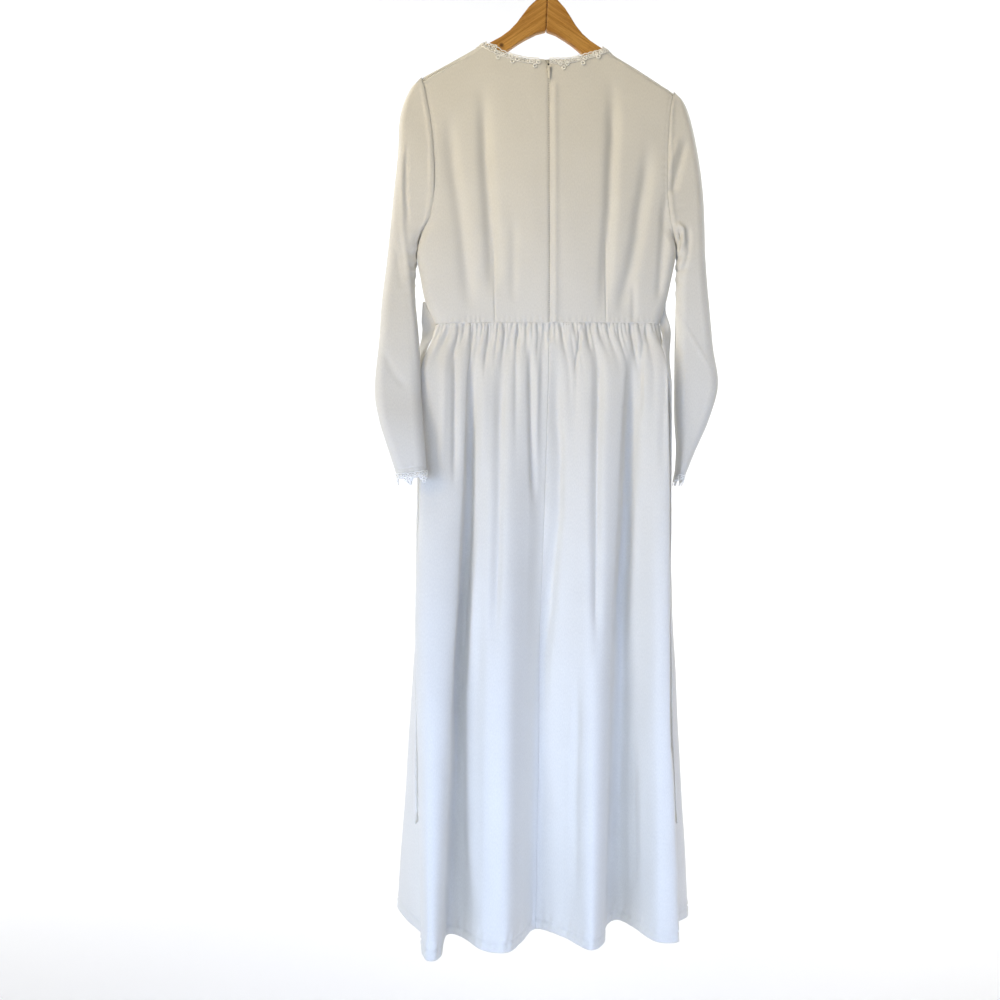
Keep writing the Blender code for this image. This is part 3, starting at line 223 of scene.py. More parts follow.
# Ties: middle, width and turn of the strip at each height
LEFT_TIE = table(
    ("place", "z", "x", "y", "width", "turn"),
    ("seam top", -0.5410, -0.2012, 0.0000, 0.0020, 0),
    ("root 1", -0.5570, -0.1990, 0.0000, 0.0140, 0),
    ("root 2", -0.5730, -0.1975, 0.0000, 0.0240, 4),
    ("root 3", -0.5850, -0.1980, 0.0010, 0.0240, 14),
    ("bend 1", -0.5970, -0.2020, 0.0040, 0.0240, 44),
    ("bend 2", -0.6120, -0.2065, 0.0080, 0.0235, 62),
    ("hang 1", -0.6400, -0.2095, 0.0095, 0.0230, 72),
    ("hang 2", -0.8500, -0.2095, 0.0020, 0.0225, 73),
    ("hang 3", -1.0200, -0.2108, -0.0110, 0.0225, 74),
    ("hang 4", -1.1800, -0.2118, -0.0190, 0.0225, 74),
    ("hang 5", -1.3200, -0.2118, -0.0240, 0.0230, 66),
    ("tip side", -1.3450, -0.2110, -0.0240, 0.0230, 64),
    ("tip", -1.3690, -0.2110, -0.0240, 0.0024, 64),
)
RIGHT_TIE = table(
    ("place", "z", "x", "y", "width", "turn"),
    ("seam top", -0.5450, 0.1889, 0.0000, 0.0020, 0),
    ("root 1", -0.5570, 0.1869, 0.0000, 0.0068, 0),
    ("root 2", -0.5730, 0.1862, 0.0000, 0.0140, 0),
    ("root 3", -0.5850, 0.1878, -0.0010, 0.0180, -24),
    ("bend 1", -0.5970, 0.1905, -0.0040, 0.0210, -50),
    ("bend 2", -0.6120, 0.1920, -0.0070, 0.0220, -58),
    ("hang 1", -0.6400, 0.1945, -0.0110, 0.0220, -70),
    ("hang 2", -0.7200, 0.1955, -0.0140, 0.0215, -78),
    ("hang 3", -0.8500, 0.1955, -0.0150, 0.0215, -78),
    ("hang 4", -1.0200, 0.1935, -0.0180, 0.0215, -78),
    ("hang 5", -1.1800, 0.1965, -0.0200, 0.0215, -78),
    ("hang 6", -1.3200, 0.2015, -0.0210, 0.0220, -76),
    ("tip side", -1.3450, 0.2025, -0.0210, 0.0220, -76),
    ("tip", -1.3690, 0.2032, -0.0210, 0.0024, -76),
)


# Curves through the tables, for whole arrays at once

def ease(value):
    value = np.clip(value, 0.0, 1.0)
    return value * value * (3.0 - 2.0 * value)


def mix(a, b, share):
    return a + (b - a) * share


def bell(distance, reach):
    """1 at distance 0, falling to 0.37 at the reach."""
    return np.exp(-(distance / reach) ** 2)


def smooth_curve(keys, values, at):
    """Smooth curve through values at rising keys, read at an array."""
    keys, values = np.asarray(keys, float), np.asarray(values, float)
    count = len(keys)
    places = np.arange(count)
    low, high = np.maximum(places - 1, 0), np.minimum(places + 1, count - 1)
    slopes = (values[high] - values[low]) / (keys[high] - keys[low])
    at = np.clip(at, keys[0], keys[-1])
    i = np.clip(np.searchsorted(keys, at, side="right") - 1, 0, count - 2)
    span = keys[i + 1] - keys[i]
    t = (at - keys[i]) / span
    return (
        values[i] * (2 * t**3 - 3 * t**2 + 1)
        + slopes[i] * span * (t**3 - 2 * t**2 + t)
        + values[i + 1] * (3 * t**2 - 2 * t**3)
        + slopes[i + 1] * span * (t**3 - t**2)
    )


def along(rows, key, at, column):
    keys = [row[key] for row in rows]
    values = [row[column] for row in rows]
    if keys[0] > keys[-1]:
        keys.reverse()
        values.reverse()
    return smooth_curve(keys, values, at)


def ridge_z(x):
    """Height of the shoulder ridge along the tilted hanger's arms."""
    local_x = x + TILT_SHIFT
    local_z = NECK_RIDGE_Z - SHOULDER_SLOPE * (np.abs(local_x) - NECK_X)
    return local_z * math.cos(TILT) - local_x * math.sin(TILT)


# Bodice

ARC_FROM = 0.86


def half_depth(x, edge_x, z):
    side = along(DEPTHS, "z", z, "side")
    return side + (along(DEPTHS, "z", z, "centre") - side) * (1.0 - (x / edge_x) ** 2)


def edge_of(side, v):
    key = "left" if side < 0 else "right"
    return along(SIDES, "v", v, key + "_x"), along(SIDES, "v", v, key + "_z")


def neck_share(side):
    neck_x = NECK_X + (TILT_SHIFT if side < 0 else -TILT_SHIFT)
    return float(neck_x / edge_of(side, 1.0)[0])


def back_top_z(side, q):
    """Height of the back's upper edge: the neck edge, then the shoulder seam."""
    drop = RIDGE_RADIUS * (1.0 - math.cos(SEAM_TURN))
    share = neck_share(side)
    top_x = edge_of(side, 1.0)[0]
    seam_z = ridge_z(side * q * top_x) - drop
    reach = np.clip(q / share, 0.0, 1.0)
    neck_point = ridge_z(side * share * top_x) - drop
    neck_z = along(NECKLINE, "x", reach * NECK_X, "z") + (neck_point - NECKLINE[-1]["z"]) * reach**3
    return np.where(q >= share, seam_z, neck_z)


def body_xy(q, edge_x, closing, z):
    """Section of the bodice, q from 0 at the centre to 1 at the edge."""
    radius = along(DEPTHS, "z", z, "side")
    open_x = q * edge_x
    open_y = half_depth(open_x, edge_x, z)
    turn = np.clip((q - ARC_FROM) / (1.0 - ARC_FROM), 0.0, 1.0) * math.pi / 2
    start_x = edge_x - radius
    flat_x = q / ARC_FROM * start_x
    round_x = start_x + radius * np.sin(turn)
    shut_x = np.where(q < ARC_FROM, flat_x, round_x)
    shut_y = np.where(
        q < ARC_FROM, half_depth(flat_x, edge_x, z), half_depth(start_x, edge_x, z) * np.cos(turn))
    return mix(open_x, shut_x, closing), mix(open_y, shut_y, closing)


def ridge_factor(x, z):
    below = np.clip((ridge_z(x) - z) / RIDGE_RADIUS, 0.0, 1.0)
    return np.sqrt(1.0 - (1.0 - below) ** 2)


def back_grid(side, q, v):
    """Points of a back panel for arrays of q across and v up."""
    edge_x, edge_z = edge_of(side, v)
    top_edge_z = edge_of(side, 1.0)[1]
    z = WAIST_Z + (edge_z - WAIST_Z) / (top_edge_z - WAIST_Z) * (back_top_z(side, q) - WAIST_Z)
    closing = 1.0 - ease((v - UNDERARM_V) / (ARMHOLE_OPEN_V - UNDERARM_V))
    x, y = body_xy(q, edge_x, closing, z)
    if side < 0:
        rise = np.clip((z - NOTCH_Z) / (NECKLINE[0]["z"] - NOTCH_Z), 0.0, 1.0)
        x = x + NOTCH_WIDTH * rise * np.clip(1.0 - q / NOTCH_REACH, 0.0, 1.0)
    return np.stack(np.broadcast_arrays(side * x, -y * ridge_factor(side * x, z), z), axis=-1)


def front_neck_z(side, q):
    share = neck_share(side)
    reach = np.clip(q / share, 0.0, 1.0)
    neck_z = ridge_z(side * share * edge_of(side, 1.0)[0])
    bottom = NECK_RIDGE_Z - FRONT_NECK_DROP
    return bottom + (neck_z - bottom) * (1.0 - np.sqrt(1.0 - reach**2.4))


def front_half(side, q, v):
    """Points of half the front panel; above v = 1 it wraps over the shoulder ridge."""
    level = np.minimum(v, 1.0)
    edge_x, edge_z = edge_of(side, level)
    end_x, end_z = edge_of(side, 1.0)
    x_top = side * q * end_x
    wraps = q >= neck_share(side) - 1e-9
    top = ridge_z(x_top) - RIDGE_RADIUS
    top = np.where(wraps, top, np.minimum(top, front_neck_z(side, q)))
    z = WAIST_Z + (edge_z - WAIST_Z) / (end_z - WAIST_Z) * (top - WAIST_Z)
    closing = 1.0 - ease((level - UNDERARM_V) / (ARMHOLE_OPEN_V - UNDERARM_V))
    x, y = body_xy(q, edge_x, closing, z)
    y = y * ridge_factor(side * x, z)
    turn = np.maximum(v - 1.0, 0.0) * (math.pi / 2 + SEAM_TURN)
    over = (v > 1.0) & wraps
    z = np.where(over, ridge_z(x_top) - RIDGE_RADIUS * (1.0 - np.sin(turn)), z)
    y = np.where(over, RIDGE_RADIUS * np.cos(turn), y)
    return np.stack(np.broadcast_arrays(side * x, y, z), axis=-1)


def front_grid(q, v):
    return np.where((q < 0.0)[..., None], front_half(-1, np.abs(q), v), front_half(1, np.abs(q), v))


# Skirt

def stadium(q, left, right, radius):
    """Back half of a flat ring with round ends, q from 0 at the left to 1 at the right."""
    arc = math.pi * radius / 2
    straight = left + right - 2 * radius
    s = q * (2 * arc + straight)
    first, last = s / radius, (s - arc - straight) / radius
    x = np.where(
        s < arc, -left + radius * (1.0 - np.cos(first)),
        np.where(s < arc + straight, -left + radius + s - arc, right - radius + radius * np.sin(last)))
    y = np.where(
        s < arc, -radius * np.sin(first),
        np.where(s < arc + straight, -radius, -radius * np.cos(last)))
    return x, y


def waist_xy(u):
    radius = DEPTHS[0]["side"]
    x, y = stadium(np.clip(np.where(u <= 1.0, u, 2.0 - u), 0.0, 1.0), WAIST_LEFT, WAIST_RIGHT, radius)
    edge_x = np.where(x < 0, WAIST_LEFT, WAIST_RIGHT)
    y = y * half_depth(x, edge_x, WAIST_Z) / radius
    return x, np.where(u <= 1.0, y, -y)


def fold_ring(u, z):
    """Ring of the folded skirt at one height, for an array of u."""
    grown = float(along(GROWTH, "z", z, "share"))
    us, xs, ys = [], [], []
    for fold in FOLDS:
        if z >= MID_Z:
            x = mix(fold["x_mid"], fold["x_top"], min(1.0, (z - MID_Z) / (TOP_Z - MID_Z)))
        else:
            x = mix(fold["x_mid"], fold["x_hem"], (MID_Z - z) / (MID_Z - HEM_Z))
        facing = "back_y" if fold["u"] < 1.0 else "front_y"
        mean = float(along(GROWTH, "z", z, facing))
        seam = fold["fold"] in ("left seam", "right seam", "left seam again")
        y = fold["y_hem"] * grown if seam else mean + (fold["y_hem"] - GROWTH[0][facing]) * grown
        us.append(fold["u"])
        xs.append(x)
        ys.append(y)
    us = [us[-2] - 2.0] + us + [us[1] + 2.0]
    xs = [xs[-2]] + xs + [xs[1]]
    ys = [ys[-2]] + ys + [ys[1]]
    return smooth_curve(us, xs, u), smooth_curve(us, ys, u)


def skirt_grid(us, zs):
    """Points of the skirt before its gathers, rows of heights and columns of u."""
    rows = []
    waist_x, waist_y = waist_xy(us)
    for z in zs:
        x, y = fold_ring(us, z)
        share = ease((WAIST_Z - z) / (WAIST_Z - TOP_Z))
        x, y = mix(waist_x, x, share), mix(waist_y, y, share)
        rows.append(np.stack([x, y, np.full_like(x, z)], axis=-1))
    return np.array(rows)


# Sleeves

def sleeve_grid(side, t, w):
    """Points of a sleeve: t from the back of the seam round to its front, w down the arm."""
    rows = LEFT_SLEEVE if side < 0 else RIGHT_SLEEVE
    outer = along(rows, "v", w, "out_x")
    half = along(rows, "v", w, "half")
    v = mix(1.0, UNDERARM_V, np.clip(w / SLEEVE_UNDERARM, 0.0, 1.0))
    back = back_grid(side, np.ones_like(v), v)
    front = front_half(side, np.ones_like(v), v)
    cap = w < SLEEVE_UNDERARM
    inner = np.where(cap, np.abs(back[..., 0]), along(rows, "v", w, "in_x"))
    in_z = np.where(cap, mix(back[..., 2], front[..., 2], t), along(rows, "v", w, "in_z"))
    closing = np.where(cap, 1.0 - np.clip(np.abs(back[..., 1]) / half, 0.0, 1.0), 1.0)
    outer = np.maximum(outer, inner + 0.0004)
    arc = np.minimum(half, (outer - inner) * 0.4)
    face = np.where(t <= 0.5, 1.0, -1.0)
    s = np.where(t <= 0.5, t, 1.0 - t)
    turn = (1.0 - s / SLEEVE_BEND) * math.pi / 2
    bend_x = mix(inner + arc * s / SLEEVE_BEND, inner + arc - arc * np.sin(turn), closing)
    bend_y = mix(half, half * np.cos(turn), closing)
    flat_x = mix(inner + arc, outer - arc, (s - SLEEVE_BEND) / (SLEEVE_EDGE - SLEEVE_BEND))
    round_turn = np.clip((s - SLEEVE_EDGE) / (0.5 - SLEEVE_EDGE), 0.0, 1.0) * math.pi / 2
    round_x = outer - arc + arc * np.sin(round_turn)
    x = np.where(s < SLEEVE_BEND, bend_x, np.where(s < SLEEVE_EDGE, flat_x, round_x))
    y = np.where(s < SLEEVE_BEND, bend_y, np.where(s < SLEEVE_EDGE, half, half * np.cos(round_turn)))
    rise = np.sin(math.pi * np.clip(t, 0.0, 1.0)) ** mix(0.55, 1.0, np.clip(w / 0.08, 0.0, 1.0))
    z = mix(in_z, along(rows, "v", w, "out_z"), rise)
    y = -face * y + along(rows, "v", w, "middle")
    return np.stack(np.broadcast_arrays(side * x, y, z), axis=-1)


# Cloth as a fine grid: normals, edges, creases

def grid_normals(grid, outward):
    across = np.gradient(grid, axis=1)
    up = np.gradient(grid, axis=0)
    return unit(np.cross(across, up) * outward)


LEVEL_REACH = 0.004     # how far from a seam the cloth is levelled with it
STITCH_REACH = 0.0016   # half width of the flat strip along a line of stitches


def square_to_seam(normals, distance, axis, where=1.0):
    """Near a seam the cloth is pushed out level with it, so that both sides still meet."""
    share = where * bell(distance, LEVEL_REACH)
    normals = normals.copy()
    normals[..., axis] *= 1.0 - share
    return unit(normals)


def unit(v):
    return v / np.maximum(np.linalg.norm(v, axis=-1, keepdims=True), 1e-12)


def lengths_across(grid):
    steps = np.linalg.norm(np.diff(grid, axis=1), axis=-1)
    return np.concatenate([np.zeros((len(grid), 1)), np.cumsum(steps, axis=1)], axis=1)


def from_edges(across):
    """Distance from the nearer of a panel's two side edges."""
    return np.minimum(across, across[:, -1:] - across)


def lengths_up(grid):
    steps = np.linalg.norm(np.diff(grid, axis=0), axis=-1)
    return np.concatenate([np.zeros((1, grid.shape[1])), np.cumsum(steps, axis=0)], axis=0)


def ripple(at, seed, step):
    """Smooth wandering value from -1 to 1, with a bend each step."""
    at = np.asarray(at, float) / step
    cell = np.floor(at)
    share = ease(at - cell)

    def height(k):
        mixed = np.sin(k * 127.1 + seed * 311.7) * 43758.5453
        return 2.0 * (mixed - np.floor(mixed)) - 1.0
    return mix(height(cell), height(cell + 1.0), share)


def crease(grid, path, width, height):
    """Height of a fold that follows a path of (x, z), fading out at both ends."""
    x, z = grid[..., 0], grid[..., 2]
    best = np.full(x.shape, 1e9)
    place = np.zeros(x.shape)
    marks = np.concatenate([[0.0], np.cumsum([math.dist(a, b) for a, b in zip(path, path[1:])])])
    for k, (a, b) in enumerate(zip(path, path[1:])):
        length = marks[k + 1] - marks[k]
        way = ((x - a[0]) * (b[0] - a[0]) + (z - a[1]) * (b[1] - a[1])) / length**2
        way = np.clip(way, 0.0, 1.0)
        far = np.hypot(x - a[0] - way * (b[0] - a[0]), z - a[1] - way * (b[1] - a[1]))
        nearer = far < best
        best = np.where(nearer, far, best)
        place = np.where(nearer, (marks[k] + way * length) / marks[-1], place)
    taper = ease(place / 0.26) * ease((1.0 - place) / 0.20)
    return height * taper * bell(best, width)


def seam_roll(distance, depth, reach):
    """The cloth turns in towards a seam line."""
    return -depth * bell(distance, reach)


def pucker(distance, along_seam, seed, height, reach, pitch):
    """Small uneven wrinkles that run away from a line of stitches."""
    wander = along_seam + 0.35 * pitch * ripple(along_seam, seed, 1.7 * pitch)
    strength = 0.6 + 0.4 * ripple(along_seam, seed + 3, 3.1 * pitch)
    fade = bell(distance, reach) * (1.0 - bell(distance, STITCH_REACH))
    return height * strength * np.sin(2 * math.pi * wander / pitch) * fade


def new_piece(name, points, faces, material, body):
    mesh = bpy.data.meshes.new(name)
    mesh.from_pydata([tuple(p) for p in points], [], faces)
    mesh.materials.append(material)
    mesh.shade_smooth()
    piece = bpy.data.objects.new(name, mesh)
    bpy.context.scene.collection.objects.link(piece)
    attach(piece, body)
    return piece


def cloth_sheet(name, grid, outward, kept=None, thickness=SHELL,
                slot="crepe"):
    """A cut piece of cloth from its grid of points, given its thickness inward."""
    material = TAPE_IN_PAINTED_SHADE if slot == "zip_tape" else CREPE
    rows, columns = grid.shape[:2]
    used = np.zeros(rows * columns, int)
    faces = []
    for r in range(rows - 1):
        base = r * columns
        for c in range(columns - 1):
            if kept is not None and not kept(r, c):
                continue
            a = base + c
            corners = (a, a + 1, a + columns + 1, a + columns)
            faces.append(corners if outward > 0 else corners[::-1])
    wanted = np.unique(np.array(faces))
    used[wanted] = np.arange(len(wanted))
    faces = [tuple(int(used[i]) for i in face) for face in faces]
    piece = new_piece(name + "_cloth", grid.reshape(-1, 3)[wanted], faces, material, DRESS)
    across, up = lengths_across(grid).reshape(-1), lengths_up(grid).reshape(-1)
    layer = piece.data.uv_layers.new(name="cut")
    loops = np.array([loop.vertex_index for loop in piece.data.loops])
    uv = np.stack([across[wanted][loops], up[wanted][loops]], axis=-1)
    layer.data.foreach_set("uv", uv.reshape(-1))
    shell = piece.modifiers.new("cloth", "SOLIDIFY")
    shell.thickness = thickness
    shell.offset = -1.0
    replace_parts(piece, name)


# Materials

def linear(colour):
    """A hex colour as linear values."""
    values = [int(colour[i:i + 2], 16) / 255 for i in (1, 3, 5)]
    return [v / 12.92 if v <= 0.04045 else ((v + 0.055) / 1.055) ** 2.4 for v in values] + [1.0]


def add_node(tree, kind, settings=None, links=None, values=None):
    """A node with its settings, its input values and its links {input: (node, output)}."""
    node = tree.nodes.new(kind)
    for key, value in (settings or {}).items():
        setattr(node, key, value)
    for key, value in (values or {}).items():
        node.inputs[key].default_value = value
    for key, (source, output) in (links or {}).items():
        tree.links.new(source.outputs[output], node.inputs[key])
    return node


def new_material(name, **sockets):
    material = bpy.data.materials.new(name)
    material.use_nodes = True
    tree = material.node_tree
    shader = tree.nodes["Principled BSDF"]
    for key, value in sockets.items():
        shader.inputs[key.replace("_", " ")].default_value = value
    return material, tree, shader


def noise(tree, source, output, scale, detail, **values):
    return add_node(tree, "ShaderNodeTexNoise", links={"Vector": (source, output)},
                    values={"Scale": scale, "Detail": detail, **values})


def between(tree, source, output, low, high, **limits):
    """A value brought to the range from low to high."""
    limits = {key.replace("_", " "): value for key, value in limits.items()}
    return add_node(tree, "ShaderNodeMapRange", links={"Value": (source, output)},
                    values={**limits, "To Min": low, "To Max": high})


def blend(tree, factor, output, links, values):
    """A blend of the colours A and B."""
    return add_node(tree, "ShaderNodeMix", {"data_type": "RGBA"}, {"Factor": (factor, output), **links},
                    {key: linear(colour) for key, colour in values.items()})


def scaled(tree, source, output, scale):
    return add_node(tree, "ShaderNodeMapping", links={"Vector": (source, output)},
                    values={"Scale": scale})


def bumped(tree, shader, height, strength, distance):
    bump = add_node(tree, "ShaderNodeBump", links={"Height": (height, "Fac")},
                    values={"Strength": strength, "Distance": distance})
    tree.links.new(bump.outputs["Normal"], shader.inputs["Normal"])


def mottled(name, scale, dark, light, **sockets):
    """A material whose colour wanders between two tones, with the noise that drives it."""
    material, tree, shader = new_material(name, **sockets)
    spots = noise(tree, add_node(tree, "ShaderNodeTexCoord"), "Object", scale, 2.0)
    tone = blend(tree, spots, "Fac", {}, {"A": dark, "B": light})
    tree.links.new(tone.outputs["Result"], shader.inputs["Base Color"])
    return material, tree, shader, spots


def crepe_material():
    """Polyester crepe, woven from hard-twisted yarns: a fine pebbled grain and a soft satin sheen."""
    material, tree, shader = new_material(
        "ivory polyester crepe", Roughness=0.58, Sheen_Weight=0.12, Sheen_Roughness=0.5,
        Specular_IOR_Level=0.35)
    place = add_node(tree, "ShaderNodeTexCoord")
    # Broad tone differences of a few centimetres, from the dye and from handling.
    cloud = noise(tree, place, "Object", 14.0, 3.0, Roughness=0.5)
    tone = blend(tree, cloud, "Fac", {}, {"A": "#DBD7CD", "B": "#E1DED5"})
    # Thicker and thinner warp yarns, drawn as faint streaks 1.6 mm wide and 4 mm long.
    yarns = noise(tree, scaled(tree, place, "UV", (620.0, 240.0, 1.0)), "Vector", 1.0, 1.0)
    slub = between(tree, yarns, "Fac", 0.95, 1.03, From_Min=0.25, From_Max=0.75)
    shaded = add_node(tree, "ShaderNodeVectorMath", {"operation": "SCALE"},
                      {"Vector": (tone, "Result"), "Scale": (slub, "Result")})
    tree.links.new(shaded.outputs["Vector"], shader.inputs["Base Color"])
    # The crepe's grain is about 0.3 mm; it is drawn at 0.9 mm so that the render holds it.
    bumped(tree, shader, noise(tree, place, "UV", 1100.0, 2.0, Roughness=0.6), 0.10, 0.0004)
    return material


def lace_material():
    """Guipure lace, thick matt cotton thread: matt, cream, with the twist of the thread."""
    material, tree, shader, twist = mottled(
        "cream cotton guipure", 2200.0, "#F8F5EC", "#FEFDF9", Roughness=0.85)
    bumped(tree, shader, twist, 0.4, 0.0003)
    return material


def varnished_beech():
    """Steamed beech under satin varnish: golden, with fine grain along each arm, pores and a knot."""
    material, tree, shader = new_material(
        "varnished beech", Roughness=0.42, Coat_Weight=0.10, Coat_Roughness=0.25,
        Specular_IOR_Level=0.3)
    place = add_node(tree, "ShaderNodeTexCoord")
    # Both arms are sawn along their slope, so the grain runs outward and down on either side.
    parts = add_node(tree, "ShaderNodeSeparateXYZ", links={"Vector": (place, "Object")})
    shifted = add_node(tree, "ShaderNodeMath", {"operation": "ADD"}, {0: (parts, "X")}, {1: 0.0040})
    apart = add_node(tree, "ShaderNodeMath", {"operation": "ABSOLUTE"}, {0: (shifted, "Value")})
    folded = add_node(tree, "ShaderNodeCombineXYZ", links={
        "X": (apart, "Value"), "Y": (parts, "Y"), "Z": (parts, "Z")})
    grain = add_node(tree, "ShaderNodeVectorRotate", {"rotation_type": "Y_AXIS"},
                     {"Vector": (folded, "Vector")}, {"Angle": math.radians(-34.0)})
    # Growth rings, 3 to 5 mm apart across the grain.
    rings = noise(tree, scaled(tree, grain, "Vector", (11.0, 90.0, 290.0)), "Vector", 1.0, 5.0,
                  Roughness=0.62, Distortion=0.5)
    tone = add_node(tree, "ShaderNodeValToRGB", links={"Fac": (rings, "Fac")})
    for stop, position, colour in zip(tone.color_ramp.elements, (0.33, 0.66), ("#A06A25", "#CE9A4E")):
        stop.position = position
        stop.color = linear(colour)
    # Pores, short dark flecks of 0.5 mm by a few millimetres.
    pores = noise(tree, scaled(tree, grain, "Vector", (140.0, 900.0, 1300.0)), "Vector", 1.0, 1.0)
    dark = between(tree, pores, "Fac", 0.0, 0.45, From_Min=0.58, From_Max=0.72)
    wood = blend(tree, dark, "Result", {"A": (tone, "Color")}, {"B": "#7A4A1C"})
    # A small dark knot, about 6 mm across, low on the left arm.
    near = add_node(tree, "ShaderNodeVectorMath", {"operation": "DISTANCE"},
                    {0: (place, "Object")}, {1: (-0.0760, -0.0055, -0.1325)})
    knot = between(tree, near, "Value", 0.85, 0.0, From_Min=0.0018, From_Max=0.0048)
    marked = blend(tree, knot, "Result", {"A": (wood, "Result")}, {"B": "#4B2A10"})
    tree.links.new(marked.outputs["Result"], shader.inputs["Base Color"])
    bumped(tree, shader, pores, 0.08, 0.0002)
    return material


def bright_steel():
    """Drawn steel wire, polished and nickel plated: a bright mirror with faint smears."""
    material, tree, shader = new_material(
        "nickel plated steel wire", Metallic=1.0, Base_Color=linear("#C9C8C6"))
    smears = noise(tree, add_node(tree, "ShaderNodeTexCoord"), "Object", 260.0, 3.0)
    gloss = between(tree, smears, "Fac", 0.12, 0.28)
    tree.links.new(gloss.outputs["Result"], shader.inputs["Roughness"])
    return material


def woven_tape_in_painted_shade():
    """Zip tape, a fine polyester weave with diagonal ribs about 0.7 mm apart, coloured grey-beige as
    painted shade, so that its ends read as the shadow inside the notch above the slider.
    """
    material, tree, shader = new_material(
        "woven polyester tape, grey as painted shade", Roughness=0.75, Base_Color=linear("#B3B0A6"))
    ribs = add_node(tree, "ShaderNodeTexWave", {"bands_direction": "DIAGONAL"},
                    {"Vector": (add_node(tree, "ShaderNodeTexCoord"), "Object")},
                    {"Scale": 520.0, "Distortion": 0.4, "Detail": 1.0})
    bumped(tree, shader, ribs, 0.35, 0.0002)
    return material


def studio_white():
    """Matt white studio paint with a faint roller texture."""
    material, tree, shader = new_material(
        "matt white studio paint", Roughness=0.9, Base_Color=linear("#F7F7F7"))
    nap = noise(tree, add_node(tree, "ShaderNodeTexCoord"), "Object", 60.0, 2.0)
    bumped(tree, shader, nap, 0.03, 0.0005)
    return material


CREPE = crepe_material()
LACE = lace_material()
BEECH = varnished_beech()
STEEL = bright_steel()
# The zip's tape and teeth are grey-beige as painted shade for the notch above the slider.
TAPE_IN_PAINTED_SHADE = woven_tape_in_painted_shade()
# Small pressed steel clamps, darkened as painted shade for the shadow at the foot of the notch above
# the slider: matt, rubbed brighter in spots.
STOPS_IN_PAINTED_SHADE = mottled("steel darkened as painted shade", 900.0, "#33302B", "#575349", Metallic=0.9, Roughness=0.5)[0]
# Hide glue squeezed out along the hanger's joint, sanded flush: amber brown, a little mottled.
GLUE = mottled("dried hide glue", 500.0, "#A8742F", "#BC8840", Roughness=0.5)[0]
# Cream enamel baked on die-cast zinc: smooth and glossy, a little uneven in thickness.
ENAMEL = mottled("cream enamel on zinc", 420.0, "#DFD8C6", "#F1ECDF", Roughness=0.28,
                 Coat_Weight=0.4)[0]

for node, material in (
    ("hanger_arm_left", BEECH), ("hanger_arm_right", BEECH), ("hook", STEEL),
    ("zip_slider", ENAMEL), ("zip_pull_tab", ENAMEL),
):
    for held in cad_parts[node].material_slots:
        held.material = material


# Where the cloth creases

def creases(*rows):
    """Creases from rows of millimetres: width, height (below 0 for a valley), then x and z in turn."""
    return [(row[0] / 1000, row[1] / 1000, [(x / 1000, z / 1000) for x, z in zip(row[2::2], row[3::2])])
            for row in rows]


BACK_LEFT_CREASES = creases(
    (10, -6.2, -106, -195, -102.5, -278.6, -100.8, -326.2, -97.6, -373.8, -93.7, -421.5, -90.8, -469.1,
     -88.3, -545),
    (10.5, -4.2, -160, -235, -155.6, -302.4, -150.8, -350, -142.9, -397.7, -136.5, -445.3, -131.7,
     -492.9, -125.4, -565),
    (7, -1.6, -56, -410, -57, -492.9, -58, -550),
    (1.3, -1.4, -88.7, -424.8, -86.3, -584.5),
    (3, -0.6, -29.4, -241.3, -23.1, -261.9),
)
BACK_RIGHT_CREASES = creases(
    (9.5, -5, 99, -180.7, 101, -278.6, 97, -350, 95.5, -397.7, 91.5, -445.3, 88.5, -492.9, 85, -575),
    (1.3, -1.2, 89.2, -424.8, 89.2, -584.5),
    (10.5, -4.6, 158, -280, 152.4, -350, 144.4, -397.7, 138, -445.3, 129, -492.9, 116, -540.5, 109,
     -578),
    (7.5, -3.4, 185, -360, 182, -429.5, 177.5, -495.9, 173, -556),
    (4.5, -1.8, 133, -510, 133, -579.7),
)
FRONT_CREASES = creases(
    (9, -1.8, -112, -215, -109, -330, -96, -450),
    (8, -1.4, 106, -212, 111, -310, 101, -435),
    (6, -1.2, -156, -395, -132, -460, -121, -545),
    (7, -1, 152, -390, 138, -465, 119, -535),
    (1.2, -0.8, -85, -430, -83, -584.5),
    (1.2, -0.8, 85, -430, 83, -584.5),
    (8, -1, -26, -250, -10, -340, -14, -430),
    (7, 1, 35, -270, 42, -370),
    (5, -0.8, 12, -470, 16, -570),
)
LEFT_SLEEVE_CREASES = creases(
    (4.5, 2.2, -233.4, -254, -233.4, -421.6, -217.5, -546.5, -204.9, -685.7),
    (3.5, -2.2, -227, -291.9, -227.8, -371, -223.9, -423.2),
    (5, -1.2, -256, -430, -242, -470, -233, -530),
    (6, -1.8, -264, -620, -244, -660, -222, -685),
    (2.2, -2, -201, -452, -196.5, -436, -191.5, -424),
    (2, 1.4, -204.5, -456, -201, -440, -196.5, -426),
    (2, -1.6, -209, -464, -206.5, -446, -203, -432),
)
RIGHT_SLEEVE_CREASES = creases(
    (6, -3.6, 220.4, -279.3, 211.7, -307.8, 201.5, -345.7, 192, -378.9),
    (5, 1.8, 206.2, -279.3, 198.3, -307.8, 187.2, -345.7),
    (4, 1, 187.2, -519.6, 214.1, -573.4, 239.4, -614.5, 256.8, -643, 264.7, -668.3),
    (1, -0.6, 193.6, -522.8, 218.9, -573.4, 244.2, -614.5, 260, -639.8),
    (6, -1, 260, -680, 242, -730, 225, -790),
    # The sleeve buckles under the arm: one fold curls round from the seam.
    (3.2, 4.2, 198.5, -430, 206, -422.5, 212.5, -429, 213, -448, 208, -468),
    (2.6, -4, 204, -452, 206.8, -440, 206, -431),
    (4.5, -2.6, 220, -418, 221.5, -448, 216, -482, 208, -506),
    (4, 1.6, 203, -490, 212, -480, 218, -456),
)
SLEEVE_FRONT_CREASES = creases(
    (7, -2, 215, -275, 211, -350, 203, -420),
    (6, -1.8, 234, -460, 225, -510, 218, -575),
    (7, -1.8, 244, -645, 232, -675, 220, -690),
)
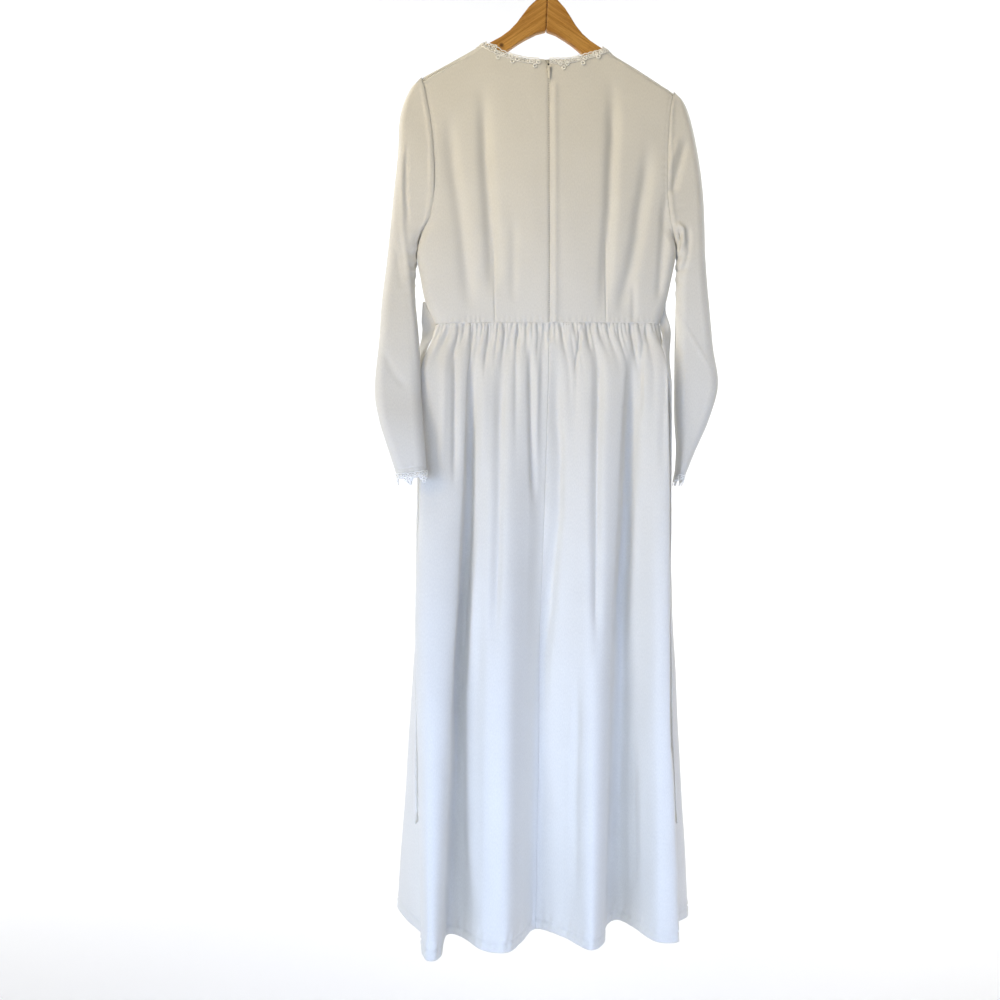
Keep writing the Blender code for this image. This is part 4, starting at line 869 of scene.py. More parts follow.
SKIRT_BACK_CREASES = creases(
    (5, -3.4, -149, -593.9, -148.6, -699.9, -149, -835),
    (5.5, -4, -123.5, -605, -123.2, -731.5, -126.5, -854, -129, -920.5, -136, -1030, -144, -1170, -147,
     -1290),
    (7.5, 3.4, -111, -840, -113, -950, -119, -1050, -126, -1170, -125, -1340, -118, -1500),
    (8.5, -4.4, -79.4, -600, -79.4, -700, -80.5, -830, -84, -960, -90, -1100),
    (5, -3.6, -31, -595, -29, -699.9, -26.2, -800, -24, -870),
    (8.5, -4.6, 11.1, -595, 11.1, -730, 14.3, -778.6, 11.1, -890, 3.2, -953.2, -1.6, -1016.7, -9.5,
     -1096.1, -14.3, -1220),
    (8, -5.4, 79, -590, 76, -700, 73, -780, 72, -880, 71.5, -980, 70, -1100),
    (8, -5.2, 132, -593.9, 130.2, -683.3, 127, -778.6, 123.8, -889.7, 120.6, -953.2, 112, -1120),
    (4, -1.6, 150, -590, 144.5, -640, 144, -730),
    (8, -2, 180.9, -609.8, 180.9, -699.9, 176.3, -818.9),
    (6, 1.4, -165.4, -601.8, -165.4, -699.9, -169, -834.6),
    (8, 1.8, -103.7, -608.2, -103.7, -699.9, -108, -834.6),
    (6, 1.6, -18.3, -609.8, -18.3, -699.9, -23.7, -818.9),
    (12, 1.8, 150.9, -609.8, 150.9, -731.5, 145, -897.1),
    (2.2, -2.6, 192.5, -780, 191.5, -950, 190.5, -1100, 190.5, -1300),
    (6, -2.6, 42, -1120, 37, -1300, 36, -1490),
    (6, -2.4, 133, -1220, 134, -1360, 135, -1500),
    (2.5, -2.2, 49.7, -581.3, 44.9, -620.8, 38.6, -658.8),
)
SKIRT_FRONT_CREASES = creases(
    (5, -2.4, -148, -600, -150, -710, -156, -870),
    (4.5, -2.8, -93, -605, -96, -760, -101, -950),
    (4, -1.6, -52, -620, -49, -720),
    (5, -2.2, -13, -600, -11, -700, -4, -840),
    (3.5, -1.8, 26, -615, 30, -730),
    (5, -3, 72, -595, 76, -740, 83, -990),
    (4, -1.8, 112, -610, 115, -710),
    (5.5, -2.4, 150, -600, 156, -760, 162, -890),
    (8, 2, -122, -608, -126, -790),
    (7, 1.8, -32, -610, -30, -760),
    (9, 2.2, 50, -608, 52, -820),
    (6, 1.6, 133, -610, 138, -770),
)


def all_creases(grid, rows):
    return sum(crease(grid, path, width, height) for width, height, path in rows)


# Bodice

def rows_with(low, high, count, dense=()):
    """Rising values, evenly spaced, with more of them close to the given ones."""
    values = list(np.linspace(low, high, count))
    for middle, reach, extra in dense:
        values += list(np.linspace(max(low, middle - reach), min(high, middle + reach), extra))
    values = np.unique(np.round(values, 7))
    apart = np.concatenate([[True], np.diff(values) > (high - low) * 2e-4])
    values = values[apart]
    values[-1] = high
    return values


def seam_relief(up, across, v, seed):
    """Relief shared by the bodice panels: the turn-in and the puckers at side and armhole."""
    armhole = ease((v - 0.26) / 0.04)
    height = seam_roll(across, 0.0004, 0.0016)
    height = height + armhole * pucker(across, up, seed, 0.0006, 0.010, 0.012)
    return height - armhole * 0.0004 * bell(across - 0.004, 0.003)


# How far the creases of each part are deepened from the tables
BACK_GAIN = 1.45
FRONT_GAIN = 2.2
SKIRT_GAIN = 1.8


def make_backs():
    for side, word, folds in ((-1, "left", BACK_LEFT_CREASES), (1, "right", BACK_RIGHT_CREASES)):
        qs = rows_with(0.0, 1.0, 110, ((0.0, 0.06, 16), (1.0, 0.06, 18), (neck_share(side), 0.02, 7),
                                       (0.46, 0.03, 12)))[None, :]
        vs = rows_with(0.0, 1.0, 120, ((0.0, 0.03, 12), (1.0, 0.05, 20)))[:, None]
        grid = back_grid(side, qs, vs)
        across, up = lengths_across(grid), lengths_up(grid)
        from_side = across[:, -1:] - across
        from_top = up[-1:, :] - up
        normals = grid_normals(grid, side)
        normals = square_to_seam(normals, from_side, 0, ease((vs - 0.25) / 0.05))
        normals = square_to_seam(normals, up, 2)
        height = BACK_GAIN * all_creases(grid, folds) + seam_relief(up, from_side, vs, 2.0 + side)
        height += seam_roll(up, 0.0001, 0.0010) + pucker(up, across, 5.0 + side, 0.0007, 0.009, 0.009)
        # The shoulder seam turns in, with a soft roll beside it, higher on the left.
        seam = 1.0 * (qs >= neck_share(side))
        height += seam * seam_roll(from_top, 0.0004, 0.0015)
        roll = 0.0007 if side < 0 else 0.0002
        height += roll * seam * bell(from_top - 0.0040, 0.0022)
        # The cloth hangs a little unevenly, in broad waves 42 mm apart.
        wander = ripple(grid[..., 0] + 0.25 * grid[..., 2], 4.0 + side, 0.042)
        height += 0.0012 * wander * ease(across / 0.03)
        low = ease((SLIDER_FOOT - grid[..., 2]) / 0.02)
        if side > 0:
            # The zip's lap: its folded edge swells up to a soft roll and slopes off to the right.
            height += low * 0.0018 * bell(across - 0.0090, 0.0050)
            height += seam_roll(across, 0.0004, 0.0009)
        else:
            height += seam_roll(across, 0.0017, 0.0034)
        # At the neck the relief dies away, so that the lace meets a clean edge.
        height *= 1.0 - 0.9 * bell(from_top, 0.0015) * (1.0 - seam)
        cloth_sheet("bodice_back_" + word, grid + normals * height[..., None], side)


def make_front():
    left, right = neck_share(-1), neck_share(1)
    qs = rows_with(-1.0, 1.0, 200, ((-1.0, 0.05, 16), (1.0, 0.05, 16)))
    for edge in (-left, right):
        qs[np.argmin(np.abs(qs - edge))] = edge
    qs = qs[None, :]
    vs = np.concatenate([rows_with(0.0, 1.0, 120, ((0.0, 0.03, 10), (1.0, 0.03, 8))),
                         np.linspace(1.0, 2.0, 17)[1:]])[:, None]
    grid = front_grid(qs, vs)
    body = int(np.sum(vs[:, 0] <= 1.0))
    across, up = lengths_across(grid), lengths_up(grid)
    from_edge = from_edges(across)
    normals = square_to_seam(grid_normals(grid, -1), from_edge, 0, ease((vs - 0.25) / 0.05))
    normals = square_to_seam(normals, up, 2)
    seam = 1.0 * ((qs <= -left + 1e-9) | (qs >= right - 1e-9))
    top = np.where(seam > 0, up[-1:, :], up[body - 1:body, :])
    from_top = top - up
    height = FRONT_GAIN * all_creases(grid, FRONT_CREASES) + seam_relief(up, from_edge, vs, 7.0)
    height += seam_roll(up, 0.0005, 0.0015) + pucker(up, across, 6.0, 0.0004, 0.007, 0.009)
    height += seam * seam_roll(from_top, 0.0004, 0.0015)
    height += 0.0013 * ripple(grid[..., 0] - 0.3 * grid[..., 2], 9.0, 0.05)
    height *= 1.0 - 0.9 * bell(from_top, 0.0015) * (1.0 - seam)

    def kept(r, c):
        return r < body - 1 or qs[0, c + 1] <= -left + 1e-9 or qs[0, c] >= right - 1e-9

    cloth_sheet("bodice_front", grid + normals * height[..., None], -1,
                kept=kept)


# Skirt

# Gathers from short to long: how many, width, height, where they start and how far they reach
GATHERS = (
    (52, 0.0018, 0.0036, 0.0015, 0.034),
    (30, 0.0028, 0.0046, 0.006, 0.080),
    (14, 0.0048, 0.0036, 0.030, 0.240),
)


def gathers(across, fall, seed, count, width, height, start, reach):
    """Narrow uneven valleys that fan down from the waist seam, with rounded folds between them."""
    pick = np.random.default_rng(seed)
    whole = float(across.max())
    total = np.zeros(np.broadcast_shapes(across.shape, fall.shape))
    for k in range(count):
        middle = (k + 0.5 + pick.uniform(-0.32, 0.32)) * whole / count
        lean = pick.uniform(-0.05, 0.05)
        bend = pick.uniform(-0.12, 0.12)
        w = width * pick.uniform(0.7, 1.35)
        h = height * pick.uniform(0.45, 1.2)
        long = reach * pick.uniform(0.45, 1.5)
        begin = start * pick.uniform(0.3, 1.2)
        env = ease(fall / max(begin, 1e-4)) * (1.0 - ease((fall - 0.25 * long) / (0.75 * long)))
        away = across - middle - lean * fall - bend * fall**2
        spread = w * (1.0 + 1.2 * np.clip(fall / long, 0.0, 1.0))
        total -= h * env / (1.0 + (away / spread) ** 2) ** 1.5
    return total


# How far the gathers push the skirt's sides outward at each height
SIDE_FULLNESS = table(
    ("z", "left", "right"),
    (HEM_Z, 0.0, 0.0),
    (-1.250, 0.0, 0.0005),
    (MID_Z, 0.0, 0.0030),
    (-0.850, 0.0005, 0.0040),
    (-0.720, 0.0015, 0.0035),
    (-0.640, 0.0045, 0.0032),
    (-0.605, 0.0055, 0.0035),
    (-0.588, 0.0042, 0.0030),
    (WAIST_Z, 0.0, 0.0),
)


def fuller_sides(grid):
    """Pushes the outer parts of the ring outward by the table's amounts."""
    x, z = grid[..., 0], grid[..., 2]
    near = ease((np.abs(x) / np.abs(x).max() - 0.72) / 0.25)
    more = np.where(x < 0, -along(SIDE_FULLNESS, "z", z, "left"), along(SIDE_FULLNESS, "z", z, "right"))
    grid = grid.copy()
    grid[..., 0] += near * more
    return grid


CENTRE = 190            # column of the skirt's grid at which its centre back seam lies
HEM_TURN = 0.0150       # height of the hem's stitches above its fold


def make_skirt():
    # Rows lie closest where the gathers are finest, just below the waist.
    stops = (0.0, 0.010, 0.060, 0.180, 0.500, 0.925, WAIST_Z - HEM_Z)
    counts = (7, 21, 21, 22, 22, 16)
    falls = np.concatenate([[0.0]] + [
        np.linspace(low, high, count)[1:] for low, high, count in zip(stops, stops[1:], counts)])
    zs = (WAIST_Z - falls)[::-1]
    for names, first, folds, seed in (
        (("skirt_back_left", "skirt_back_right"), 0.0, SKIRT_BACK_CREASES, 11),
        (("skirt_front",), 1.0, SKIRT_FRONT_CREASES, 37),
    ):
        us = np.linspace(first, first + 1.0, 2 * CENTRE + 1)
        grid = fuller_sides(skirt_grid(us, zs))
        normals = square_to_seam(grid_normals(grid, 1.0), (WAIST_Z - zs)[:, None], 2)
        wide = np.abs(waist_xy(us)[1]) / DEPTHS[0]["side"]
        flat = np.clip(wide, 0.0, 1.0)[None, :] ** 2
        fall = (WAIST_Z - zs)[:, None]
        across, hem = lengths_across(grid), lengths_up(grid)
        waist = across[-1:, :]
        wave = sum(flat * gathers(waist, fall, seed + k, *sizes) for k, sizes in enumerate(GATHERS))
        height = wave + SKIRT_GAIN * all_creases(grid, folds)
        # The gathered fullness stands out 2.2 mm at once below the seam.
        height += 0.0022 * flat * ease(fall / 0.004) * (1.0 - ease((fall - 0.02) / 0.10))
        height += seam_roll(fall, 0.0001, 0.0010)
        # Seams between the panels, and the hem, turned up and stitched 15 mm above its fold.
        edge = from_edges(across)
        if len(names) == 2:
            edge = np.minimum(edge, np.abs(across - across[:, CENTRE:CENTRE + 1]))
        height -= 0.0003 * bell(edge, 0.0010) * ease(fall / 0.01)
        height += pucker(edge, hem, seed, 0.0004, 0.008, 0.016)
        height -= 0.0015 * bell(hem - HEM_TURN, 0.0013)
        height += pucker(np.abs(hem - HEM_TURN), across, seed + 4, 0.0018, 0.011, 0.017)
        height += 0.0009 * ripple(across + 0.15 * hem, seed + 6, 0.055) * ease(fall / 0.25)
        height += 0.0006 * ripple(0.4 * across + hem, seed + 8, 0.070) * ease(fall / 0.25)
        grid = grid + normals * height[..., None]
        parts = (grid,) if len(names) == 1 else (grid[:, :CENTRE + 1], grid[:, CENTRE:])
        for name, part in zip(names, parts):
            cloth_sheet(name, part, 1.0)


# Sleeves

CUFF_TURN = 0.012       # height of the cuff's stitches above its edge


def make_sleeves():
    for side, word, folds in ((-1, "left", LEFT_SLEEVE_CREASES), (1, "right", RIGHT_SLEEVE_CREASES)):
        ts = rows_with(0.0, 1.0, 96, ((0.0, 0.08, 12), (0.5, 0.14, 26), (1.0, 0.08, 12)))[None, :]
        ws = rows_with(0.0, 1.0, 170, ((1.0, 0.03, 14),))[:, None]
        grid = sleeve_grid(side, ts, ws)
        across, down = lengths_across(grid), lengths_up(grid)
        edge = from_edges(across)
        cap = 1.0 - ease((ws - 0.40) / 0.05)
        normals = square_to_seam(grid_normals(grid, -side), edge, 0, cap)
        back = 1.0 - ease((ts - 0.40) / 0.10)
        height = all_creases(grid, folds) * back
        mirrored = [(w, h, [(side * x, z) for x, z in path]) for w, h, path in SLEEVE_FRONT_CREASES]
        height += all_creases(grid, mirrored) * (1.0 - back)
        # The armhole seam turns in and puckers, with a soft roll beside it.
        height += cap * seam_roll(edge, 0.0004, 0.0016)
        height += cap * pucker(edge, down, 13.0 + side, 0.0006, 0.012, 0.013)
        height += cap * ease(ws / 0.06) * 0.0011 * bell(edge - 0.0055, 0.0036)
        # Below it runs the sleeve's own seam, which puckers most at the underarm.
        height -= (1.0 - cap) * 0.0004 * bell(edge, 0.0014)
        under = bell(ws - SLEEVE_UNDERARM, 0.10)
        height += under * pucker(edge, down, 17.0 + side, 0.0020, 0.026, 0.019)
        end = down[-1:, :] - down
        # The cuff's edge is turned in and stitched.
        height -= 0.0005 * bell(end - CUFF_TURN, 0.0010)
        height += pucker(np.abs(end - CUFF_TURN), across, 19.0 + side, 0.0003, 0.008, 0.010)
        height += 0.0007 * ripple(across * 0.8 + 0.5 * down, 21.0 + side, 0.040)
        cloth_sheet("sleeve_" + word, grid + normals * height[..., None], -side)


# Ties

TIE_THICK = 0.0014      # two layers of crepe, turned and pressed


def make_ties():
    for word, rows, sign in (("left", LEFT_TIE, -1.0), ("right", RIGHT_TIE, 1.0)):
        zs = np.linspace(rows[-1]["z"], rows[0]["z"], 260)[:, None]
        s = np.linspace(-0.5, 0.5, 17)[None, :]
        x, y, width, turn = (along(rows, "z", zs, key) for key in ("x", "y", "width", "turn"))
        turn = -np.radians(turn) * (1.0 - 0.18 * bell(zs + 0.630, 0.050))
        cos, sin = np.cos(turn), np.sin(turn)
        # The strap's edges are rounded, and it cups a little along its length.
        cup = 0.0012 * (1.0 - (2.0 * s) ** 2) * ease((rows[0]["z"] - zs) / 0.06)
        cup = cup + 0.0008 * ripple(zs + 0.02 * s, 31.0 + sign, 0.060) * np.sin(math.pi * (s + 0.5))
        cup = cup - 0.0004 * bell(np.abs(s) - 0.42, 0.03)
        # Near the waist they lie against the bodice and the skirt; lower, the inner edge curls back.
        right = sign > 0
        close = 0.0070 * bell(zs + 0.590 + 0.040 * right, 0.035)
        close = close + 0.0026 * right * ease((-0.58 - zs) / 0.08)
        close = close + 0.0040 * right * bell(zs + 0.550, 0.020)
        curl = np.clip((-sign * s - 0.12) / 0.38, 0.0, 1.0) ** 1.4 * ease((-0.60 - zs) / 0.05)
        px = x + cos * width * s + sin * cup - sign * (close + 0.0022 * curl)
        py = y + sin * width * s - cos * cup + 0.0135 * curl
        py = py - 0.0090 * right * bell(zs + 0.640, 0.050)
        grid = np.stack(np.broadcast_arrays(px, py, zs), axis=-1)
        cloth_sheet("tie_" + word, grid, 1.0, thickness=TIE_THICK)


# Lace

def ring_shape(outer, hole, thick, around, over):
    """One ring of lace as arrays of points and faces, from a torus with its section flattened."""
    bpy.ops.mesh.primitive_torus_add(
        major_segments=around, minor_segments=over, major_radius=(outer + hole) / 2,
        minor_radius=(outer - hole) / 2)
    ring = bpy.context.object
    points = np.array([v.co for v in ring.data.vertices])
    points[:, 2] *= thick / (outer - hole)
    faces = [tuple(face.vertices) for face in ring.data.polygons]
    bpy.data.objects.remove(ring)
    return points, faces


def gather_shapes(shapes):
    """Joins (points, faces) pairs into one."""
    points, faces, start = [], [], 0
    for p, f in shapes:
        points.append(p)
        faces += [tuple(i + start for i in face) for face in f]
        start += len(p)
    return np.concatenate(points), faces


def placed(shape, centre, across, down, out):
    points, faces = shape
    turned = points @ np.array([across, down, out])
    return turned + centre, faces


def tube(path, normals, width, thick):
    """A flattened cord along a path, closed at both ends."""
    sides = 6
    path = np.asarray(path)
    way = np.gradient(path, axis=0)
    way /= np.linalg.norm(way, axis=1, keepdims=True)
    out = np.asarray(normals)
    side = np.cross(way, out)
    side /= np.linalg.norm(side, axis=1, keepdims=True)
    turns = np.linspace(0.0, 2 * math.pi, sides, endpoint=False)
    points = [p + s * width / 2 * math.cos(a) + n * thick / 2 * math.sin(a)
              for p, s, n in zip(path, side, out) for a in turns]
    faces = []
    for i in range(len(path) - 1):
        for k in range(sides):
            a, b = i * sides + k, i * sides + (k + 1) % sides
            faces.append((a, b, b + sides, a + sides))
    last = (len(path) - 1) * sides
    faces.append(tuple(range(sides - 1, -1, -1)))
    faces.append(tuple(range(last, last + sides)))
    return np.array(points), faces


def edge_line(surface, at, sign):
    """Points along an edge with the way down the cloth and its outward normal."""
    step = 0.002
    spots = np.array([surface(q, v) for q, v in at])
    ahead = np.gradient(spots, axis=0)
    normals = []
    for q, v in at:
        du = surface(q + step, v) - surface(q - step, v)
        dv = surface(q, v) - surface(q, v - 2 * step)
        normals.append(unit(np.cross(du, dv)) * sign)
    normals = unit(np.array(normals))
    return spots, unit(np.cross(unit(ahead), normals)), normals


def marks_along(spots):
    """Distance of each point along a line from its start."""
    return np.concatenate([[0.0], np.cumsum(np.linalg.norm(np.diff(spots, axis=0), axis=1))])


def lace_trim(name, spots, downs, normals, band, clusters, lift, rise=0.0):
    """Guipure edging: a scalloped cord, small rings, a festooned cord and clusters of large rings.

    Clusters hold each large ring's distance along the edge and its depth below it; rise is how far
    the edging stands above the cloth's edge, at each spot.
    """
    marks = marks_along(spots)
    length = marks[-1]
    rise = rise + np.zeros(len(spots))
    shapes = []

    def at(s, fall):
        p, down, n = (np.array([np.interp(s, marks, values[:, i]) for i in range(3)])
                      for values in (spots, downs, normals))
        down, n = unit(down), unit(n)
        return p + down * fall + n * lift, down, n

    def cord(falls, width, thick):
        spots_on = [at(s, fall) for s, fall in zip(fine, falls)]
        shapes.append(tube([p for p, _, _ in spots_on], [n for _, _, n in spots_on], width, thick))

    def ring(shape, s, fall, out):
        p, down, n = at(s, fall)
        shapes.append(placed(shape, p + n * out, unit(np.cross(down, n)), down, n))

    fine = np.linspace(0.0, length, max(8, int(length / 0.0011)))
    raised = np.interp(fine, marks, rise)
    cord(-0.0003 - raised - 0.0013 * np.abs(np.sin(math.pi * fine / 0.0088)), 0.0017, 0.0016)
    cord(band - 0.0008 + 0.0009 * np.abs(np.sin(math.pi * fine / 0.0066)), 0.0015, 0.0014)
    count = max(3, round(length / 0.0056))
    for k in range(count):
        s = (k + 0.5) * length / count
        up = float(np.interp(s, marks, rise))
        ring(SMALL_RING, s, band * 0.46 - 0.25 * up, 0.0)
        if up > 0.0016:
            ring(SMALL_RING, s + 0.0028, -0.0004 - 0.55 * up, 0.0003)
    for s, fall in clusters:
        ring(RING, s, fall, 0.0003)
    points, faces = gather_shapes(shapes)
    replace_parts(new_piece(name + "_rings", points, faces, LACE, DRESS), name)


def repeated_clusters(length, pitch, band):
    """Places of clusters of three rings, two up and one down, evenly along an edge."""
    count = max(1, round(length / pitch))
    middles = [(k + 0.5) * length / count for k in range(count)]
    return [(middle + off, band + fall) for middle in middles
            for off, fall in ((-0.0037, 0.0014), (0.0037, 0.0014), (0.0, 0.0072))]


def below_edge(spots, downs, x, z):
    """How far along and below an edge the point (x, z) lies."""
    down = unit(downs[:, [0, 2]])
    rest = np.array([x, z]) - spots[:, [0, 2]]
    fall = np.sum(rest * down, axis=1)
    best = np.argmin(np.linalg.norm(rest - fall[:, None] * down, axis=1))
    return marks_along(spots)[best], fall[best]


RING = ring_shape(0.0038, 0.0014, 0.0022, 18, 6)
SMALL_RING = ring_shape(0.0026, 0.0009, 0.0017, 14, 6)
BAND = 0.0070

# Large rings of the lace that show on the back, as (x, z)
NECK_RINGS = {
    "neck_lace_back_left": (
        (-0.0289, -0.1622), (-0.0175, -0.1628), (-0.0228, -0.1690),
        (-0.0609, -0.1543), (-0.0508, -0.1587), (-0.0584, -0.1619),
        (-0.0844, -0.1476), (-0.0746, -0.1511), (-0.0810, -0.1555),
    ),
    "neck_lace_back_right": (
        (0.0175, -0.1653), (0.0286, -0.1653), (0.0230, -0.1718),
        (0.0468, -0.1578), (0.0568, -0.1567), (0.0534, -0.1645),
        (0.0718, -0.1491), (0.0824, -0.1476), (0.0780, -0.1545),
    ),
}


def ridge_way(side):
    """Unit vector outward along the shoulder ridge."""
    way = np.array([side, 0.0, float(ridge_z(side * NECK_X + side) - ridge_z(side * NECK_X))])
    return unit(way)


def make_neck_lace():
    for side, name in ((-1, "neck_lace_back_left"), (1, "neck_lace_back_right")):
        start = NOTCH_REACH if side < 0 else 0.0
        last = neck_share(side) - 0.002
        at = [(q, 1.0) for q in np.linspace(start, last, 160)]
        spots, downs, normals = edge_line(
            lambda q, v, side=side: back_grid(side, np.float64(q), np.float64(v)), at, side)
        downs *= np.sign(-downs[:, 2:3])
        share = ease((np.array([q for q, _ in at]) / neck_share(side) - 0.75) / 0.25)[:, None]
        downs = unit(downs * (1.0 - share) + ridge_way(side) * share)
        clusters = [below_edge(spots, downs, x, z) for x, z in NECK_RINGS[name]]
        # At the left end the edging stands up over the hanger's arm.
        rise = 0.0042 * bell(spots[:, 0] + 0.0900, 0.0090)
        lace_trim(name, spots, downs, normals, BAND, clusters, 0.0017, rise)
    halves = []
    for side in (-1, 1):
        neck_q = neck_share(side)
        x = side * neck_q * float(edge_of(side, 1.0)[0])
        ridge = float(ridge_z(x))
        turns = np.linspace(math.pi / 2 + SEAM_TURN - 0.06, 0.0, 14)
        n = np.stack([0.0 * turns, np.cos(turns), np.sin(turns)], axis=-1)
        arch = np.array([x, 0.0, ridge - RIDGE_RADIUS]) + n * RIDGE_RADIUS
        at = [(q, 1.0) for q in np.linspace(neck_q, 0.0, 60)[1:]]
        scoop, scoop_down, scoop_n = edge_line(
            lambda q, v, side=side: front_half(side, np.float64(abs(q)), np.float64(v)), at, -side)
        scoop_n *= np.where(scoop_n[:, 1:2] < 0, -1.0, 1.0)
        scoop_down *= np.sign(-scoop_down[:, 2:3])
        way = np.tile(ridge_way(side), (len(arch), 1))
        half = (np.concatenate([arch, scoop]), np.concatenate([way, scoop_down]),
                np.concatenate([n, scoop_n]))
        halves.append(half if side < 0 else tuple(a[::-1][1:] for a in half))
    spots, downs, normals = (np.concatenate(parts) for parts in zip(*halves))
    lace_trim("neck_lace_front", spots, unit(downs), unit(normals), BAND,
              repeated_clusters(marks_along(spots)[-1], 0.034, BAND), 0.0012)


def make_cuff_lace():
    for side, name in ((-1, "cuff_lace_left"), (1, "cuff_lace_right")):
        ts = np.linspace(0.0, 1.0, 120)
        top = np.array([sleeve_grid(side, np.float64(t), np.float64(0.985)) for t in ts])
        foot = np.array([sleeve_grid(side, np.float64(t), np.float64(1.0)) for t in ts])
        downs = unit(foot - top)
        around = unit(np.gradient(foot, axis=0))
        normals = unit(np.cross(around, downs)) * -side
        middle = foot.mean(axis=0)
        outward = np.sum(normals * (foot - middle), axis=1)
        normals *= np.sign(outward[len(ts) // 4])
        lace_trim(name, foot - downs * 0.003, downs, normals, 0.0065,
                  repeated_clusters(marks_along(foot)[-1], 0.024, 0.0062), 0.0011)


# Zip

def zip_y(z):
    """Depth of the back's outer surface at the zip."""
    return -half_depth(0.0, WAIST_LEFT, z)


def make_zip_tape():
    """Woven tape behind the back, its ends showing in the notch above the slider, where its grey stands
    as painted shade.
    """
    xs = np.linspace(-0.0110, 0.0110, 12)[None, :]
    zs = np.linspace(-0.5700, -0.1580, 130)[:, None]
    y = zip_y(zs) + 0.0022 - 0.0004 * bell(xs + 0.0012, 0.0016)
    y = y + 0.0006 * ease((zs + 0.170) / 0.012) * np.sin(xs / 0.0016)
    grid = np.stack(np.broadcast_arrays(xs, y, zs), axis=-1)
    cloth_sheet("zip_tape", grid, 1.0,
                thickness=0.0006, slot="zip_tape")


def bevelled_block(size, bevel):
    """Points and faces of a block with its edges softened, in its own proportions."""
    bpy.ops.mesh.primitive_cube_add(size=1.0)
    block = bpy.context.object
    edges = block.modifiers.new("softened edges", "BEVEL")
    edges.width = bevel
    edges.segments = 2
    bpy.ops.object.modifier_apply(modifier=edges.name)
    points = np.array([v.co for v in block.data.vertices]) * size
    faces = [tuple(face.vertices) for face in block.data.polygons]
    bpy.data.objects.remove(block)
    return points, faces


def make_top_stops():
    """Two pressed clamps that end the rows of teeth, just above the slider, dark as painted shade for
    the shadow there.
    """
    points, faces = bevelled_block((0.0013, 0.0011, 0.0032), 0.16)
    y = float(zip_y(-0.166)) + 0.0010
    shapes = [(points + np.array([x, y, -0.1662]), faces) for x in (-0.0019, -0.0004)]
    points, faces = gather_shapes(shapes)
    # The stops' dark colour is painted shade.
    new_piece("zip_top_stops", points, faces, STOPS_IN_PAINTED_SHADE, DRESS)


def make_hanger_joint():
    """The glued seam between the hanger's two arms, which lean with the hanger."""
    points, faces = bevelled_block((0.00022, 0.0107, 0.0526), 0.02)
    cos, sin = math.cos(TILT), math.sin(TILT)
    lean = np.array([(cos, 0.0, -sin), (0.0, 1.0, 0.0), (sin, 0.0, cos)])
    points = points @ lean + np.array([-0.00366, 0.0, -0.0783])
    new_piece("hanger_glue_joint", points, faces, GLUE, DRESS)


TOOTH_PITCH = 0.0014


def make_zip_teeth():
    """Moulded teeth on the left and the right tape in turn, meshing along the middle."""
    points, faces = bevelled_block((0.0022, 0.0009, 0.0007), 0.18)
    shapes = []
    low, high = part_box("zip_tape")
    for k, z in enumerate(np.arange(low[2] + 0.004, high[2] - 0.003, TOOTH_PITCH)):
        side = 1.0 if k % 2 else -1.0
        y = float(zip_y(z)) + 0.00155
        shapes.append((points + np.array([side * 0.0008, y, z]), faces))
    points, faces = gather_shapes(shapes)
    # The teeth take the tape's grey, which is painted shade.
    new_piece("zip_teeth", points, faces, TAPE_IN_PAINTED_SHADE, DRESS)


make_neck_lace()
make_cuff_lace()
make_backs()
make_front()
make_skirt()
make_sleeves()
make_ties()
make_zip_tape()
make_zip_teeth()
make_top_stops()
make_hanger_joint()


# Camera, lights and floor

FLOOR_Z = -1.76
CURVE_Y = 2.2           # depth at which the floor begins to curve up
CURVE_RADIUS = 0.8


def make_stage():
    """Pale floor that curves up into a backdrop behind the dress."""
    profile = [(-3.0, FLOOR_Z), (CURVE_Y, FLOOR_Z)]
    for k in range(1, 13):
        turn = math.pi / 2 * k / 12
        profile.append((CURVE_Y + CURVE_RADIUS * math.sin(turn),
                        FLOOR_Z + CURVE_RADIUS - CURVE_RADIUS * math.cos(turn)))
    profile.append((CURVE_Y + CURVE_RADIUS, 3.2))
    points = [(x, y, z) for y, z in profile for x in (-5.0, 5.0)]
    faces = [(2 * k, 2 * k + 1, 2 * k + 3, 2 * k + 2) for k in range(len(profile) - 1)]
    mesh = bpy.data.meshes.new("studio_floor")
    mesh.from_pydata(points, [], faces)
    mesh.materials.append(studio_white())
    mesh.shade_smooth()
    floor = bpy.data.objects.new("studio_floor", mesh)
    bpy.context.scene.collection.objects.link(floor)


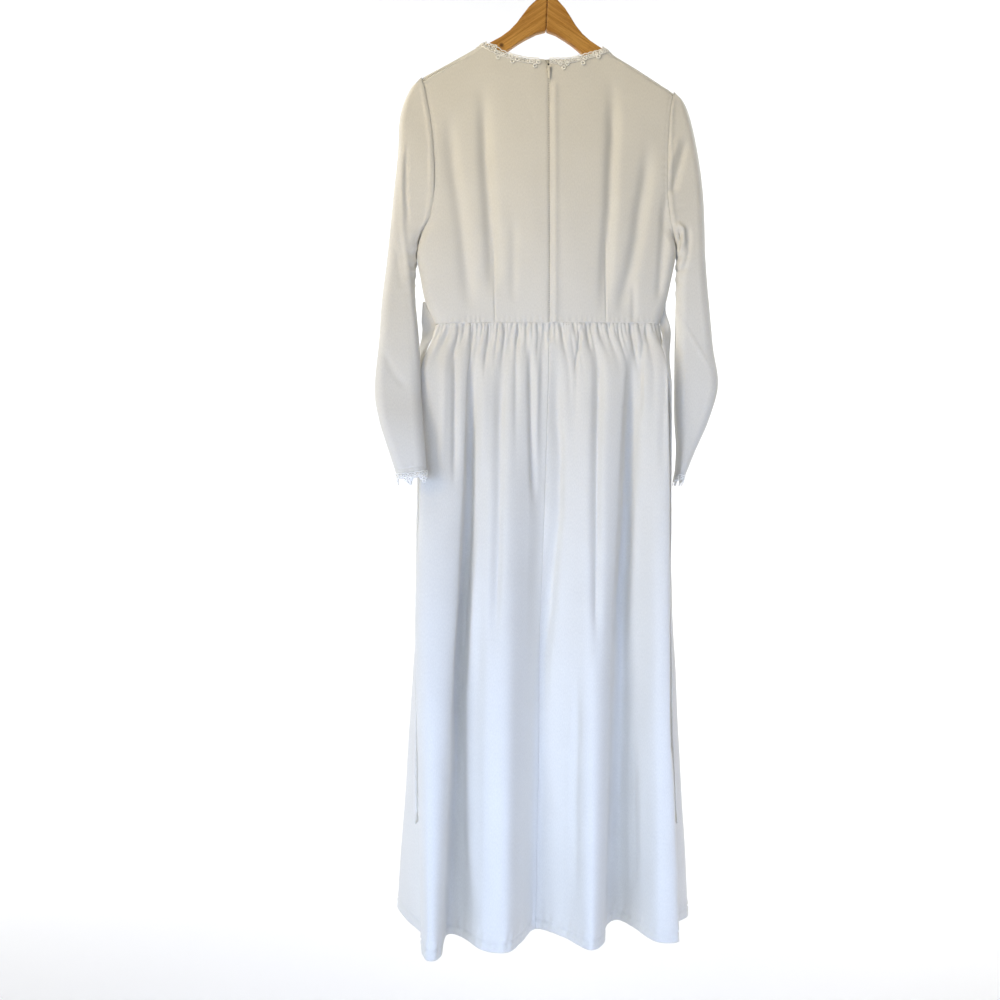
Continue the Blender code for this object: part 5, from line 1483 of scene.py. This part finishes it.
def make_light(name, place, target, size, power, colour, spread):
    """A rectangular lamp aimed at a point, its spread in degrees."""
    lamp = bpy.data.lights.new(name, "AREA")
    lamp.spread = math.radians(spread)
    lamp.shape = "RECTANGLE"
    lamp.size, lamp.size_y = size
    lamp.energy = power
    lamp.color = linear(colour)[:3]
    light = bpy.data.objects.new(name, lamp)
    light.location = place
    light.rotation_euler = (Vector(target) - Vector(place)).to_track_quat("-Z", "Y").to_euler()
    bpy.context.scene.collection.objects.link(light)


make_stage()
for settings in (
    ("window_upper_left", (-1.6, -1.8, 0.0), (0.03, 0.0, -0.22), (0.8, 0.6), 2.7, "#FFEEC8", 54.0),
    ("window_top_left", (-0.7, -1.3, 0.8), (0.0, 0.0, -0.28), (0.6, 0.5), 0.6, "#FFF0D0", 50.0),
    ("window_lower_left", (-1.6, -1.8, -1.25), (-0.08, 0.0, -1.26), (1.1, 0.8), 3.2, "#C6DAFF", 52.0),
    ("panel_lower_front", (-0.5, -2.4, -1.62), (0.0, 0.0, -1.44), (1.0, 0.6), 4.3, "#C2D8FF", 56.0),
    ("panel_lower_right", (1.5, -2.0, -1.45), (0.0, 0.0, -1.38), (0.9, 0.6), 2.2, "#AEC6FF", 54.0),
    ("panel_right", (2.0, -1.3, -0.8), (0.0, 0.0, -0.9), (0.8, 1.6), 5.4, "#FFF3CA", 180.0),
    ("backdrop_left", (-2.2, 0.9, 0.9), (-0.6, 3.0, -0.9), (1.5, 1.5), 72.0, "#FFFFFF", 180.0),
    ("backdrop_right", (2.2, 0.9, 0.9), (0.6, 3.0, -0.9), (1.5, 1.5), 72.0, "#FFFFFF", 180.0),
):
    make_light(*settings)

world = bpy.data.worlds.new("soft daylight")
world.use_nodes = True
sky = world.node_tree.nodes["Background"]
sky.inputs["Color"].default_value = linear("#F6F8FF")
sky.inputs["Strength"].default_value = 0.16
bpy.context.scene.world = world

view = bpy.data.cameras.new("camera")
view.sensor_width = 36.0
view.lens = 38.25
camera = bpy.data.objects.new("camera", view)
camera.location = (-0.0784, -1.70, -0.858)
camera.rotation_euler = (math.pi / 2, 0.0, 0.0)
bpy.context.scene.collection.objects.link(camera)
bpy.context.scene.camera = camera
bpy.context.scene.view_settings.view_transform = "Standard"
bpy.context.scene.view_settings.look = "None"
